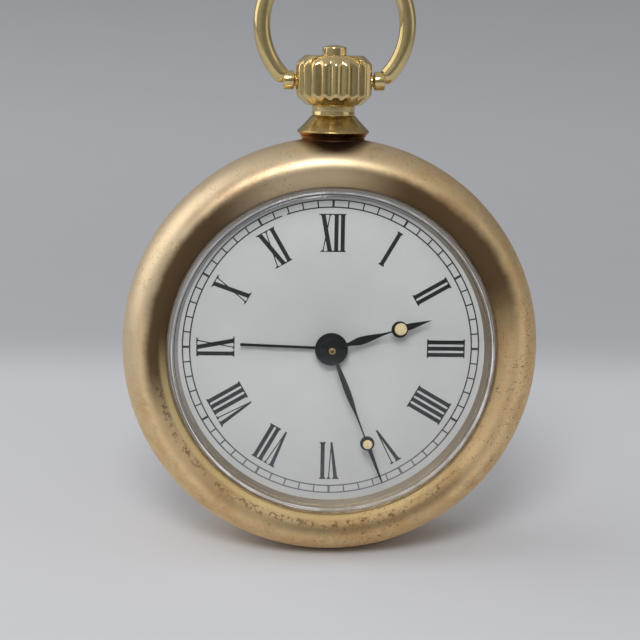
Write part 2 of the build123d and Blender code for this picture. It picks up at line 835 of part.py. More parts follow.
# Pallet lever: a bar from the pallet pins to the fork, on its own arbor
fork_end = balance_distance - lever_distance - impulse_pin_distance - 2 * pallet_pin_radius
fork_end_place = beside(lever_place, fork_end, lever_direction)
pallet_distance = escape_wheel_radius + pallet_pin_radius + pallet_pin_clearance
pallet_places = [
    beside(escape_place, pallet_distance, lever_direction + side * pallet_spread) for side in (-1, 1)
]
lever_top = escape_wheel_layer + wheel_thickness + lever_height_clearance
with BuildPart() as pallet_lever:
    with BuildSketch(level(arbor_low)):
        with Locations(lever_place):
            RegularPolygon(arbor_radius, hidden_sides)
    extrude(amount=arbor_length)
    with BuildSketch(level(lever_layer)):
        with BuildLine():
            Polyline(
                *[
                    beside(place, 2 * pallet_pin_radius, lever_direction + half_turn)
                    for place in pallet_places
                ],
                beside(fork_end_place, arbor_radius, lever_direction + quarter_turn),
                beside(fork_end_place, arbor_radius, lever_direction - quarter_turn),
                close=True,
            )
        make_face()
    extrude(amount=lever_thickness)
    with BuildSketch(level(lever_layer)):
        with Locations(*pallet_places):
            RegularPolygon(pallet_pin_radius, hidden_sides)
    extrude(amount=lever_top - lever_layer)
finish(pallet_lever.part, "pallet_lever")

# Balance: a rim on two arms with its impulse pin
with BuildPart() as balance_wheel:
    with BuildSketch(level(arbor_low)):
        with Locations(balance_place):
            RegularPolygon(arbor_radius, hidden_sides)
    extrude(amount=arbor_length)
    with BuildSketch(level(balance_layer)):
        with Locations(balance_place):
            RegularPolygon(balance_radius, hand_sides)
            RegularPolygon(balance_radius - balance_rim_width, hand_sides, mode=Mode.SUBTRACT)
            Rectangle(2 * balance_radius - balance_rim_width, balance_spoke_width)
            RegularPolygon(impulse_pin_distance + 2 * pallet_pin_radius, fine_sides)
    extrude(amount=balance_thickness)
    with BuildSketch(level(balance_layer + balance_thickness)):
        with Locations(beside(balance_place, impulse_pin_distance, lever_direction + half_turn)):
            RegularPolygon(pallet_pin_radius, hidden_sides)
    extrude(amount=lever_layer + lever_thickness - balance_layer - balance_thickness)
finish(balance_wheel.part, "balance_wheel")

# Alarm hammer: its verge pins straddle the alarm escape wheel and its head hangs beside a pillar
hammer_low = barrel_back_height - pinion_margin - lever_thickness
hammer_pin_distance = alarm_escape_radius + pallet_pin_radius + hammer_pin_clearance
hammer_pin_places = [
    beside(alarm_escape_place, hammer_pin_distance, hammer_direction + side * pallet_spread)
    for side in (-1, 1)
]
hammer_pin_low = alarm_escape_layer - lever_height_clearance
struck_pillar = polar(pillar_distance, pillar_direction)
hammer_head_place = (
    struck_pillar[0],
    struck_pillar[1] - pillar_radius - hammer_head_gap - hammer_head_radius,
)
with BuildPart() as alarm_hammer:
    with BuildSketch(level(arbor_low)):
        with Locations(hammer_place):
            RegularPolygon(arbor_radius, hidden_sides)
    extrude(amount=arbor_length)
    with BuildSketch(level(hammer_low)):
        with BuildLine():
            Polyline(
                hammer_head_place,
                beside(hammer_place, hammer_arm_width, hammer_direction - quarter_turn),
                stop_pin_place,
                *hammer_pin_places,
                beside(hammer_place, hammer_arm_width, hammer_direction + quarter_turn),
                close=True,
            )
        make_face()
    extrude(amount=lever_thickness)
    with BuildSketch(level(hammer_pin_low)):
        with Locations(*hammer_pin_places):
            RegularPolygon(pallet_pin_radius, hidden_sides)
    extrude(amount=hammer_low + lever_thickness - hammer_pin_low)
    with BuildSketch(level(hammer_low)):
        with Locations(hammer_head_place):
            RegularPolygon(hammer_head_radius, fine_sides)
    extrude(amount=-hammer_head_radius / 2)
    with BuildSketch(level(hammer_low)):
        with Locations(stop_pin_place):
            RegularPolygon(stop_pin_radius, hidden_sides)
    extrude(amount=pendant_height + stop_rod_radius - hammer_low)
finish(alarm_hammer.part, "alarm_hammer")

# Motion works under the dial
minute_wheel_points = wheel_points(minute_wheel_teeth, cannon_pinion_module, minute_wheel_phase)
minute_pinion_points = pinion_points(minute_pinion_leaves, hour_wheel_module, minute_pinion_phase)
minute_pinion_layer = minute_wheel_layer + motion_wheel_thickness
minute_pinion_length = hour_wheel_layer + motion_wheel_thickness - minute_pinion_layer
with BuildPart() as minute_wheel:
    for points, low, thickness in (
        (minute_wheel_points, minute_wheel_layer, motion_wheel_thickness),
        (minute_pinion_points, minute_pinion_layer, minute_pinion_length),
    ):
        with BuildSketch(level(low)):
            with BuildLine():
                Polyline(*moved(points, minute_wheel_place), close=True)
            make_face()
            with Locations(minute_wheel_place):
                bearing_hole(minute_post_radius)
        extrude(amount=thickness)
finish(minute_wheel.part, "minute_wheel")


def piped_wheel(name, points, layer, bore, pipe_radius, pipe_top):
    """A wheel on a pipe that turns on what is inside it and carries a hand."""
    with BuildPart() as wheel:
        with BuildSketch(level(layer)):
            with BuildLine():
                Polyline(*points, close=True)
            make_face()
            RegularPolygon(bore, fine_sides, major_radius=False, mode=Mode.SUBTRACT)
        extrude(amount=motion_wheel_thickness)
        with BuildSketch(level(layer + motion_wheel_thickness)):
            RegularPolygon(pipe_radius, fine_sides)
            RegularPolygon(bore, fine_sides, major_radius=False, mode=Mode.SUBTRACT)
        extrude(amount=pipe_top - layer - motion_wheel_thickness)
    finish(wheel.part, name)


piped_wheel(
    "hour_wheel",
    wheel_points(hour_wheel_teeth, hour_wheel_module, hour_wheel_phase),
    hour_wheel_layer,
    hour_pipe_inner,
    hour_pipe_radius,
    hour_hand_height + hand_thickness,
)
piped_wheel(
    "alarm_wheel",
    wheel_points(alarm_wheel_teeth, alarm_wheel_module, alarm_wheel_phase),
    alarm_wheel_layer,
    alarm_pipe_inner,
    alarm_pipe_radius,
    alarm_hand_height + hand_thickness,
)

alarm_set_pinion_points = gear_points(
    alarm_set_pinion_teeth,
    alarm_wheel_module,
    alarm_set_pinion_phase,
    setting_pinion_depth_shares,
    setting_pinion_width_shares,
)
with BuildPart() as alarm_set_arbor:
    with BuildSketch(level(knob_low)):
        with Locations(alarm_set_place):
            RegularPolygon(alarm_set_arbor_radius, hidden_sides)
    extrude(amount=alarm_wheel_layer - knob_low)
    with BuildSketch(level(alarm_wheel_layer)):
        with BuildLine():
            Polyline(*moved(alarm_set_pinion_points, alarm_set_place), close=True)
        make_face()
    extrude(amount=motion_wheel_thickness)
finish(alarm_set_arbor.part, "alarm_set_arbor")


# Setting knobs on the back
def setting_knob(name, place, radius, bore):
    """A fluted knob pressed on the end of its arbor."""
    points = fluted_points(radius, knob_flute_depth, knob_flutes)
    with BuildPart() as knob:
        with BuildSketch(level(knob_low)):
            with BuildLine():
                Polyline(*moved(points, place), close=True)
            make_face()
            with Locations(place):
                RegularPolygon(bore, hidden_sides, mode=Mode.SUBTRACT)
        extrude(amount=knob_length)
    finish(knob.part, name)


setting_knob("time_set_knob", centre, time_knob_radius, centre_arbor_radius)
setting_knob("alarm_set_knob", alarm_set_place, alarm_knob_radius, alarm_set_arbor_radius)

# Winding arbors and their wing keys
sleeve_top = cover_back_height - key_standoff
sleeve_low = sleeve_top - key_sleeve_length
winding_arbor_low = sleeve_top - key_arbor_reach


def winding_arbor(name, place):
    """The spring barrel's arbor, which runs out through the back for its key."""
    with BuildPart() as arbor:
        with BuildSketch(level(winding_arbor_low)):
            with Locations(place):
                RegularPolygon(barrel_arbor_radius, hidden_sides)
        extrude(amount=front_plate_height - arbor_end_margin - winding_arbor_low)
    finish(arbor.part, name)


def wing_key(name, place):
    """A sleeve with two flat wings for finger and thumb."""
    half_span = key_wing_span / 2
    half_waist = key_wing_waist / 2
    wing_low = sleeve_low - key_wing_length + key_wing_waist
    with BuildPart() as key:
        with BuildSketch(level(sleeve_low)):
            with Locations(place):
                RegularPolygon(key_sleeve_radius, fine_sides)
        extrude(amount=key_sleeve_length)
        with BuildSketch(level(winding_arbor_low)):
            with Locations(place):
                RegularPolygon(barrel_arbor_radius, hidden_sides)
        extrude(amount=key_sleeve_length, mode=Mode.SUBTRACT)
        with BuildSketch(arbor_section(place)):
            with BuildLine():
                Polyline(
                    (-half_waist, sleeve_low + half_waist),
                    (-half_span, sleeve_low + half_waist / 2),
                    (-half_span, wing_low + half_waist / 2),
                    (-half_span + half_waist, wing_low),
                    (0, sleeve_low - half_waist / 2),
                    (half_span - half_waist, wing_low),
                    (half_span, wing_low + half_waist / 2),
                    (half_span, sleeve_low + half_waist / 2),
                    (half_waist, sleeve_low + half_waist),
                    close=True,
                )
            make_face()
        extrude(amount=key_wing_thickness / 2, both=True)
    finish(key.part, name)


winding_arbor("time_winding_arbor", barrel_place)
winding_arbor("alarm_winding_arbor", alarm_barrel_place)
wing_key("time_key", barrel_place)
wing_key("alarm_key", alarm_barrel_place)

# Back cover: a flat disc on the back of the case
with BuildPart() as back_cover:
    with BuildSketch(level(cover_back_height)):
        RegularPolygon(case_back_radius - cover_edge_margin, ring_sides)
        for radius, places in pivot_holes[1:]:
            with Locations(*places):
                RegularPolygon(radius + cover_hole_clearance, fine_sides, mode=Mode.SUBTRACT)
    extrude(amount=cover_thickness)
finish(back_cover.part, "back_cover")

# Strut: a flat leaf on a pinned hinge, cut level where it stands on the desk
hinge_height = cover_back_height - hinge_plate_thickness - hinge_barrel_radius - hinge_side_gap
hinge_origin = dial_plane.from_local_coords((0, -strut_hinge_drop, hinge_height))
barrel_width = hinge_width - 2 * hinge_ear_width - 2 * hinge_side_gap
strut_length = math.hypot(hinge_origin.Z, strut_spread)
strut_direction = Vector(0, strut_spread, -hinge_origin.Z).normalized()
leaf_plane = Plane(origin=hinge_origin, x_dir=(1, 0, 0), z_dir=Vector(1, 0, 0).cross(strut_direction))
hinge_side_plane = Plane(origin=hinge_origin, x_dir=-dial_plane.y_dir, z_dir=(1, 0, 0))
plate_reach = hinge_barrel_radius + hinge_side_gap

with BuildPart() as strut:
    with BuildSketch(leaf_plane):
        with BuildLine():
            Polyline(
                (-barrel_width / 2, 0),
                (-barrel_width / 2, 2 * hinge_barrel_radius),
                (-strut_foot_width / 2, strut_length + strut_thickness),
                (strut_foot_width / 2, strut_length + strut_thickness),
                (barrel_width / 2, 2 * hinge_barrel_radius),
                (barrel_width / 2, 0),
                close=True,
            )
        make_face()
    extrude(amount=strut_thickness / 2, both=True)
    with BuildSketch(hinge_side_plane):
        RegularPolygon(hinge_barrel_radius, fine_sides)
    extrude(amount=barrel_width / 2, both=True)
    with BuildSketch(hinge_side_plane):
        bearing_hole(hinge_pin_radius, Mode.ADD)
    extrude(amount=hinge_width, both=True, mode=Mode.SUBTRACT)
    split(bisect_by=Plane.XY, keep=Keep.TOP)
finish(strut.part, "strut")

with BuildPart() as strut_hinge:
    with BuildSketch(level(cover_back_height)):
        with Locations((0, -strut_hinge_drop)):
            Rectangle(hinge_width, hinge_plate_length)
    extrude(amount=-hinge_plate_thickness)
    for side in (-1, 1):
        with BuildSketch(hinge_side_plane.offset(side * (hinge_width - hinge_ear_width) / 2)):
            RegularPolygon(hinge_barrel_radius, fine_sides)
            with Locations((0, -plate_reach / 2)):
                Rectangle(2 * hinge_barrel_radius, plate_reach)
        extrude(amount=hinge_ear_width / 2, both=True)
    with BuildSketch(hinge_side_plane):
        RegularPolygon(hinge_pin_radius, hidden_sides)
    extrude(amount=hinge_width, both=True, mode=Mode.SUBTRACT)
finish(strut_hinge.part, "strut_hinge")

with BuildPart() as strut_hinge_pin:
    with BuildSketch(hinge_side_plane):
        RegularPolygon(hinge_pin_radius, hidden_sides)
    extrude(amount=hinge_width / 2, both=True)
finish(strut_hinge_pin.part, "strut_hinge_pin")

# Pendant: a double-cone collar seated in the rim, a polished neck and a fluted crown
collar_rings = [
    (collar_foot_radius, collar_foot),
    (collar_foot_radius, collar_bowl),
    (collar_radius, collar_edge),
    (neck_radius, collar_top),
]
with BuildPart() as pendant_collar:
    for ring, next_ring in zip(collar_rings, collar_rings[1:]):
        with BuildSketch(pendant_level(ring[1])):
            RegularPolygon(ring[0], collar_sides)
        extrude(amount=next_ring[1] - ring[1], taper=taper_between(ring, next_ring, collar_sides))
    with BuildSketch(pendant_level(collar_foot)):
        RegularPolygon(neck_spigot_radius, fine_sides)
    extrude(amount=collar_top - collar_foot, mode=Mode.SUBTRACT)
finish(pendant_collar.part, "pendant_collar")

rod_bore_radius = stop_rod_radius + pendant_bore_clearance
with BuildPart() as pendant_neck:
    with BuildSketch(pendant_level(neck_bottom)):
        RegularPolygon(neck_spigot_radius, fine_sides)
    extrude(amount=neck_top - neck_bottom)
    with BuildSketch(pendant_level(collar_top)):
        RegularPolygon(neck_radius, collar_sides)
    extrude(amount=neck_top - collar_top)
    with BuildSketch(pendant_level(neck_bottom)):
        RegularPolygon(rod_bore_radius, hidden_sides)
    extrude(amount=neck_top - neck_bottom, mode=Mode.SUBTRACT)
finish(pendant_neck.part, "pendant_neck")

crown_top = neck_top + crown_height
bow_pivot_distance = neck_top + bow_pivot_rise
button_low = crown_top + button_stand - button_length
pin_plane = Plane(
    origin=pendant_plane.from_local_coords((0, bow_pivot_distance, 0)),
    x_dir=dial_plane.y_dir,
    z_dir=dial_plane.x_dir,
)
boss_inner = crown_radius + bow_boss_clearance
pin_inner = boss_inner - bow_pin_depth
crown_root_radius = crown_radius - crown_flute_depth
crown_rings = [
    (crown_foot_radius, neck_top),
    (crown_root_radius, neck_top + crown_foot_height),
    (crown_root_radius, crown_top - crown_shoulder_height),
    (crown_top_radius, crown_top),
]
with BuildPart() as crown:
    for ring, next_ring in zip(crown_rings, crown_rings[1:]):
        with BuildSketch(pendant_level(ring[1])):
            RegularPolygon(ring[0], crown_flutes)
        extrude(amount=next_ring[1] - ring[1], taper=taper_between(ring, next_ring, crown_flutes))
    with BuildSketch(pendant_level(crown_rings[1][1])):
        with BuildLine():
            Polyline(*fluted_points(crown_radius, crown_flute_depth, crown_flutes), close=True)
        make_face()
    extrude(amount=crown_rings[2][1] - crown_rings[1][1])
    with BuildSketch(pendant_level(neck_top)):
        RegularPolygon(rod_bore_radius, hidden_sides)
    extrude(amount=crown_height, mode=Mode.SUBTRACT)
    with BuildSketch(pendant_level(button_low - button_travel - seat_clearance)):
        RegularPolygon(button_radius + running_clearance, fine_sides)
    extrude(amount=crown_height, mode=Mode.SUBTRACT)
    for side in (-1, 1):
        with BuildSketch(pin_plane.offset(side * (pin_inner - bow_boss_clearance))):
            bearing_hole(bow_pin_radius, Mode.ADD)
        extrude(amount=side * (bow_pin_depth + cut_overrun), mode=Mode.SUBTRACT)
finish(crown.part, "crown")

with BuildPart() as stop_button:
    with BuildSketch(pendant_level(button_low)):
        RegularPolygon(button_radius, fine_sides)
    extrude(amount=button_length)
    with BuildSketch(pendant_level(stop_rod_end)):
        RegularPolygon(stop_rod_radius, hidden_sides)
    extrude(amount=button_low - stop_rod_end)
finish(stop_button.part, "stop_button")

# Bow: an open ring of faceted wire whose pins turn in the crown's sides
bow_centre = bow_pivot_distance + math.sqrt(bow_radius**2 - bow_pivot_reach**2)
bow_opening = math.degrees(math.asin(bow_pivot_reach / bow_radius))
bow_sweep = full_turn - 2 * bow_opening


def bow_section(turn):
    """The plane across the bow's wire at this angle around the ring."""
    angle = math.radians(turn)
    x = bow_radius * math.cos(angle)
    y = bow_centre + bow_radius * math.sin(angle)
    way = dial_plane.y_dir * math.cos(angle) - dial_plane.x_dir * math.sin(angle)
    return Plane(
        origin=pendant_plane.from_local_coords((x, y, 0)), x_dir=dial_plane.z_dir, z_dir=way
    )


with BuildPart() as bow:
    for step in range(bow_steps + 1):
        with BuildSketch(bow_section(bow_opening - quarter_turn + bow_sweep * step / bow_steps)):
            RegularPolygon(bow_wire_radius, bow_wire_sides, rotation=half_turn / bow_wire_sides)
    loft(ruled=True)
    for side in (-1, 1):
        with BuildSketch(pin_plane.offset(side * boss_inner)):
            RegularPolygon(bow_boss_radius, fine_sides)
        extrude(amount=side * bow_boss_length)
        with BuildSketch(pin_plane.offset(side * pin_inner)):
            RegularPolygon(bow_pin_radius, hidden_sides)
        extrude(amount=side * bow_pin_depth)
finish(bow.part, "bow")
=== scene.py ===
import json
import math

import bmesh
import bpy
from bpy.props import FloatProperty, FloatVectorProperty, IntProperty, PointerProperty
from bpy.types import NodeSocket, Operator, Panel, PropertyGroup
from mathutils import Matrix, Vector


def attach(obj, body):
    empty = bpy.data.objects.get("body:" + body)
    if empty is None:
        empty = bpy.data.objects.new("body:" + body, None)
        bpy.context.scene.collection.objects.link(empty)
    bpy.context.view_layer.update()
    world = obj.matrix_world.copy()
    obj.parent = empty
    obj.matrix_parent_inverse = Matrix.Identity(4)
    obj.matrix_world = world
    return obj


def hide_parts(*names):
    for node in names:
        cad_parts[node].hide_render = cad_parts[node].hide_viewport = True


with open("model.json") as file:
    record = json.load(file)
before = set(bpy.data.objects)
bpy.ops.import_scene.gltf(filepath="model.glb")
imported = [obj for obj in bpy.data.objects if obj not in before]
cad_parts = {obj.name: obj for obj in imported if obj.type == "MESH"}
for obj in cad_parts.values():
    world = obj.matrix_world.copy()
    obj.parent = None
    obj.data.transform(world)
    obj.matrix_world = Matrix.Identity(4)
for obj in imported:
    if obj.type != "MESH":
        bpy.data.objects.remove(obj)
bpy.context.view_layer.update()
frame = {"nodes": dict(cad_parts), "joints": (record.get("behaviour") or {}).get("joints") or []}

bl_info = {
    "name": "Desk Alarm Clock",
    "version": (1, 0, 0),
    "blender": (4, 5, 0),
    "location": "View3D > Sidebar > Desk Clock",
    "description": "Dresses the packed frame of a brass desk alarm clock",
    "category": "Add Mesh",
}

MM = 0.001
FULL_TURN = 2 * math.pi

# The clock's own directions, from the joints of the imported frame
joints = {joint["name"]: joint for joint in frame["joints"]}
to_right = Vector((1, 0, 0))
out_of_dial = -Vector(joints["minute_hand_turn"]["axis"]).normalized()
to_twelve = out_of_dial.cross(to_right)
dial_centre = Vector(joints["minute_hand_turn"]["pos_m"])
bow_pivot = Vector(joints["bow_fold"]["pos_m"])
strut_pivot = Vector(joints["strut_fold"]["pos_m"])
pendant_height = (bow_pivot - dial_centre).dot(out_of_dial)


def axes(x_axis, y_axis, z_axis, origin):
    """The matrix that puts a piece made round its own axes in its place on the clock."""
    turn = Matrix((x_axis, y_axis, z_axis)).transposed().to_4x4()
    turn.translation = origin
    return turn


dial_place = axes(to_right, to_twelve, out_of_dial, dial_centre)
pendant_place = axes(to_right, -out_of_dial, to_twelve, dial_centre + out_of_dial * pendant_height)


def arbor_place(joint_name):
    """The dial's directions, with the origin on another arbor's axis."""
    offset = Vector(joints[joint_name]["pos_m"]) - dial_centre
    origin = dial_centre + offset - out_of_dial * offset.dot(out_of_dial)
    return axes(to_right, to_twelve, out_of_dial, origin)


# Properties: the sizes and colours that a user would change
def length(label, text, value_mm):
    return FloatProperty(name=label, description=text, default=value_mm * MM, unit="LENGTH")


def angle(label, text, degrees):
    default = math.radians(degrees)
    return FloatProperty(name=label, description=text, default=default, subtype="ANGLE")


def linear(byte):
    share = byte / 255
    return share / 12.92 if share <= 0.04045 else ((share + 0.055) / 1.055) ** 2.4


def colour(label, text, red, green, blue):
    return FloatVectorProperty(
        name=label, description=text, default=(linear(red), linear(green), linear(blue)),
        subtype="COLOR", min=0, max=1,
    )


class CaseSizes(PropertyGroup):
    rim_radius: length("Rim radius", "Radius of the middle of the rolled rim", 32.4)
    rim_half_width: length("Rim half width", "Half the width of the rolled rim", 5.1)
    rim_front: length("Rim front", "Height of the rim's crest above its widest place", 8.0)
    rim_back: length("Rim back", "Depth of the rim's rolled back", 13.0)
    lip_radius: length("Lip radius", "Radius of the lip that holds the crystal", 29.6)
    crystal_right: length("Crystal to the right", "Sideways place of the crystal", 0.12)
    crystal_down: length("Crystal down", "How far the crystal sits below the dial's centre", 0.4)
    bore_radius: length("Bore radius", "Radius of the bore for the movement", 31.9)
    back_depth: length("Back depth", "Depth of the case's back edge", 12.0)
    back_radius: length("Back radius", "Radius of the case's back edge", 34.905)
    crystal_edge: length("Crystal edge", "Height of the crystal's straight wall", 5.9)
    crystal_shoulder: length("Crystal shoulder", "Width of the crystal's bevelled shoulder", 0.8)
    crystal_top: length("Crystal top", "Height of the middle of the crystal", 9.6)
    crystal_wall: length("Crystal wall", "Thickness of the crystal at its wall", 1.4)
    crystal_middle: length("Crystal middle", "Thickness of the crystal in the middle", 1.3)


class DialSizes(PropertyGroup):
    height: length("Dial height", "Height of the dial's face", 2.7)
    thickness: length("Dial thickness", "Thickness of the dial", 0.5)
    radius: length("Dial radius", "Outer radius of the dial under the case", 31.6)
    rehaut_radius: length("Rehaut radius", "Inner radius of the sloping ring at the dial", 27.5)
    rehaut_top: length("Rehaut top", "Height of the sloping ring's upper edge", 4.6)
    track_outer: length("Track outer radius", "Outer line of the minute track", 26.57)
    track_inner: length("Track inner radius", "Inner line of the minute track", 25.28)
    track_line: length("Track line", "Width of the track's lines", 0.24)
    five_minute_mark: length("Five minute mark", "Width of the five minute marks", 0.42)
    numeral_foot: length("Numeral foot", "Distance of the numerals' feet from the centre", 17.3)
    numeral_height: length("Numeral height", "Height of the Roman numerals", 6.8)
    stem: length("Stem", "Width of a numeral's thick stroke", 0.73)
    hairline: length("Hairline", "Width of a numeral's thin stroke", 0.2)
    pitch: length("Stroke pitch", "Distance between upright strokes", 1.14)


class HandSizes(PropertyGroup):
    minute_angle: angle("Minute hand angle", "Clockwise from twelve", 158.5)
    hour_angle: angle("Hour hand angle", "Clockwise from twelve", 73.2)
    alarm_angle: angle("Alarm hand angle", "Clockwise from twelve", 272.1)
    thickness: length("Hand thickness", "Thickness of the sheet the hands are cut from", 0.25)
    minute_height: length("Minute hand height", "Height of the minute hand's underside", 5.05)
    hour_height: length("Hour hand height", "Height of the hour hand's underside", 4.15)
    alarm_height: length("Alarm hand height", "Height of the alarm hand's underside", 3.25)
    minute_length: length("Minute hand length", "From the centre to the point", 25.9)
    hour_length: length("Hour hand length", "From the centre to the point", 18.6)
    alarm_length: length("Alarm hand length", "From the centre to the square end", 16.3)
    minute_boss: length("Minute boss radius", "Radius of the minute hand's boss", 2.1)
    hour_boss: length("Hour boss radius", "Radius of the hour hand's boss", 2.95)
    alarm_boss: length("Alarm boss radius", "Radius of the alarm hand's boss", 2.6)
    pin_radius: length("Centre pin radius", "Radius of the pin that ends the centre arbor", 0.6)
    pin_top: length("Centre pin top", "Height of the rounded end of the centre pin", 6.68)


class PendantSizes(PropertyGroup):
    collar_edge: length("Collar edge radius", "Radius of the collar's sharp edge", 6.5)
    collar_edge_at: length("Collar edge distance", "Distance of the collar's sharp edge", 38.5)
    collar_foot: length("Collar foot radius", "Radius of the collar's bowl at the rim", 5.6)
    collar_foot_at: length("Collar foot distance", "Distance of the collar's bowl", 37.1)
    collar_seat_at: length("Collar seat distance", "Distance of the seat in the rim", 36.2)
    collar_top_at: length("Collar top distance", "Distance of the collar's top", 41.3)
    neck_radius: length("Neck radius", "Radius of the polished neck", 3.9)
    neck_top_at: length("Neck top distance", "Distance of the crown's underside", 43.1)
    crown_radius: length("Crown radius", "Radius over the crown's ribs", 6.8)
    crown_top_at: length("Crown top distance", "Distance of the crown's top", 52.0)
    rib_depth: length("Rib depth", "Depth of the grooves between the crown's ribs", 0.55)
    button_radius: length("Button radius", "Radius of the alarm stop button", 2.2)
    button_top_at: length("Button top distance", "Distance of the button's top", 53.8)
    bow_radius: length("Bow radius", "Radius of the middle of the bow's wire", 13.0)
    bow_wire: length("Bow wire radius", "Radius of the bow's wire", 1.5)
    bow_reach: length("Bow reach", "Distance of the wire's ends from the crown's axis", 8.5)
    ribs: IntProperty(name="Ribs", description="Ribs round the crown", default=20, min=8, max=60)


class BackSizes(PropertyGroup):
    cover_radius: length("Cover radius", "Radius of the back cover", 34.205)
    cover_thickness: length("Cover thickness", "Thickness of the back cover", 1.2)
    knob_depth: length("Knob depth", "Depth of the knobs' outer ends", 17.7)
    knob_length: length("Knob length", "Length of the setting knobs", 3.5)
    time_knob: length("Time knob radius", "Radius of the time setting knob", 3.3)
    alarm_knob: length("Alarm knob radius", "Radius of the alarm setting knob", 2.7)
    sleeve_radius: length("Key sleeve radius", "Radius of a winding key's sleeve", 2.1)
    sleeve_depth: length("Key sleeve depth", "Depth of a key sleeve's outer end", 18.5)
    sleeve_length: length("Key sleeve length", "Length of a key's sleeve", 4.5)
    wing_span: length("Wing span", "Width over a key's wings", 11.0)
    wing_depth: length("Wing depth", "Depth of the tips of a key's wings", 20.5)
    wing_thickness: length("Wing thickness", "Thickness of a key's wings", 1.2)
    hinge_width: length("Hinge width", "Width over the hinge's ears", 11.0)
    hinge_radius: length("Hinge radius", "Radius of the hinge's barrel", 1.3)
    strut_length: length("Strut length", "From the hinge pin to the strut's foot", 25.913)
    strut_foot: length("Strut foot width", "Width of the strut's foot", 14.0)
    strut_thickness: length("Strut thickness", "Thickness of the strut's leaf", 1.2)


class FinishColours(PropertyGroup):
    case_brass: colour("Case brass", "Colour of the satin case brass", 228, 197, 149)
    # Pale brass is a painted sheen: the case is drawn paler at the upper left, where the highlight
    # falls
    case_painted_sheen: colour("Pale brass", "Colour of the case where it is kept bright", 226, 204, 167)
    # Case patina: the brass's own tarnish and dirt, also used for painted shade and painted
    # reflection by the crystal and at the collar
    case_patina_and_painted_shade: colour("Case patina", "Brown of the handled and tarnished places", 92, 71, 48)
    collar_brass: colour("Collar brass", "Colour of the collar's brass", 178, 154, 100)
    polished_brass: colour("Polished brass", "Colour of the neck, crown and bow", 218, 196, 140)
    knob_brass: colour("Knob brass", "Colour of the knobs and keys", 214, 180, 118)
    movement_brass: colour("Movement brass", "Colour of plates and wheels", 222, 194, 130)
    steel: colour("Steel", "Colour of arbors", 176, 178, 182)
    silver: colour("Silvered ring", "Colour of the sloping ring", 196, 194, 198)
    dial_white: colour("Dial white", "Colour of the dial", 187, 187, 183)
    black: colour("Black", "Colour of the hands and numerals", 5, 5, 6)
    lume: colour("Lume paste", "Colour of the aged paste in the hands", 216, 196, 152)
    floor: colour("Floor", "Colour of the floor", 210, 211, 215)


class StageSettings(PropertyGroup):
    azimuth: angle("Camera azimuth", "Direction of the camera round the clock", -3.127)
    elevation: angle("Camera elevation", "Height of the camera above the horizon", 16.715)
    roll: angle("Camera roll", "Turn of the camera about its own axis", 1.397)
    distance: length("Camera distance", "From the camera to the point it looks at", 330)
    aim_right: length("Aim right", "Sideways place of the point the camera looks at", -1.976)
    aim_up: length("Aim up", "Height of the point the camera looks at", 41.911)
    lens: FloatProperty(
        name="Lens", description="Focal length of the camera", default=103.07, unit="CAMERA"
    )


class ClockSettings(PropertyGroup):
    case: PointerProperty(type=CaseSizes)
    dial: PointerProperty(type=DialSizes)
    hands: PointerProperty(type=HandSizes)
    pendant: PointerProperty(type=PendantSizes)
    back: PointerProperty(type=BackSizes)
    colours: PointerProperty(type=FinishColours)
    stage: PointerProperty(type=StageSettings)


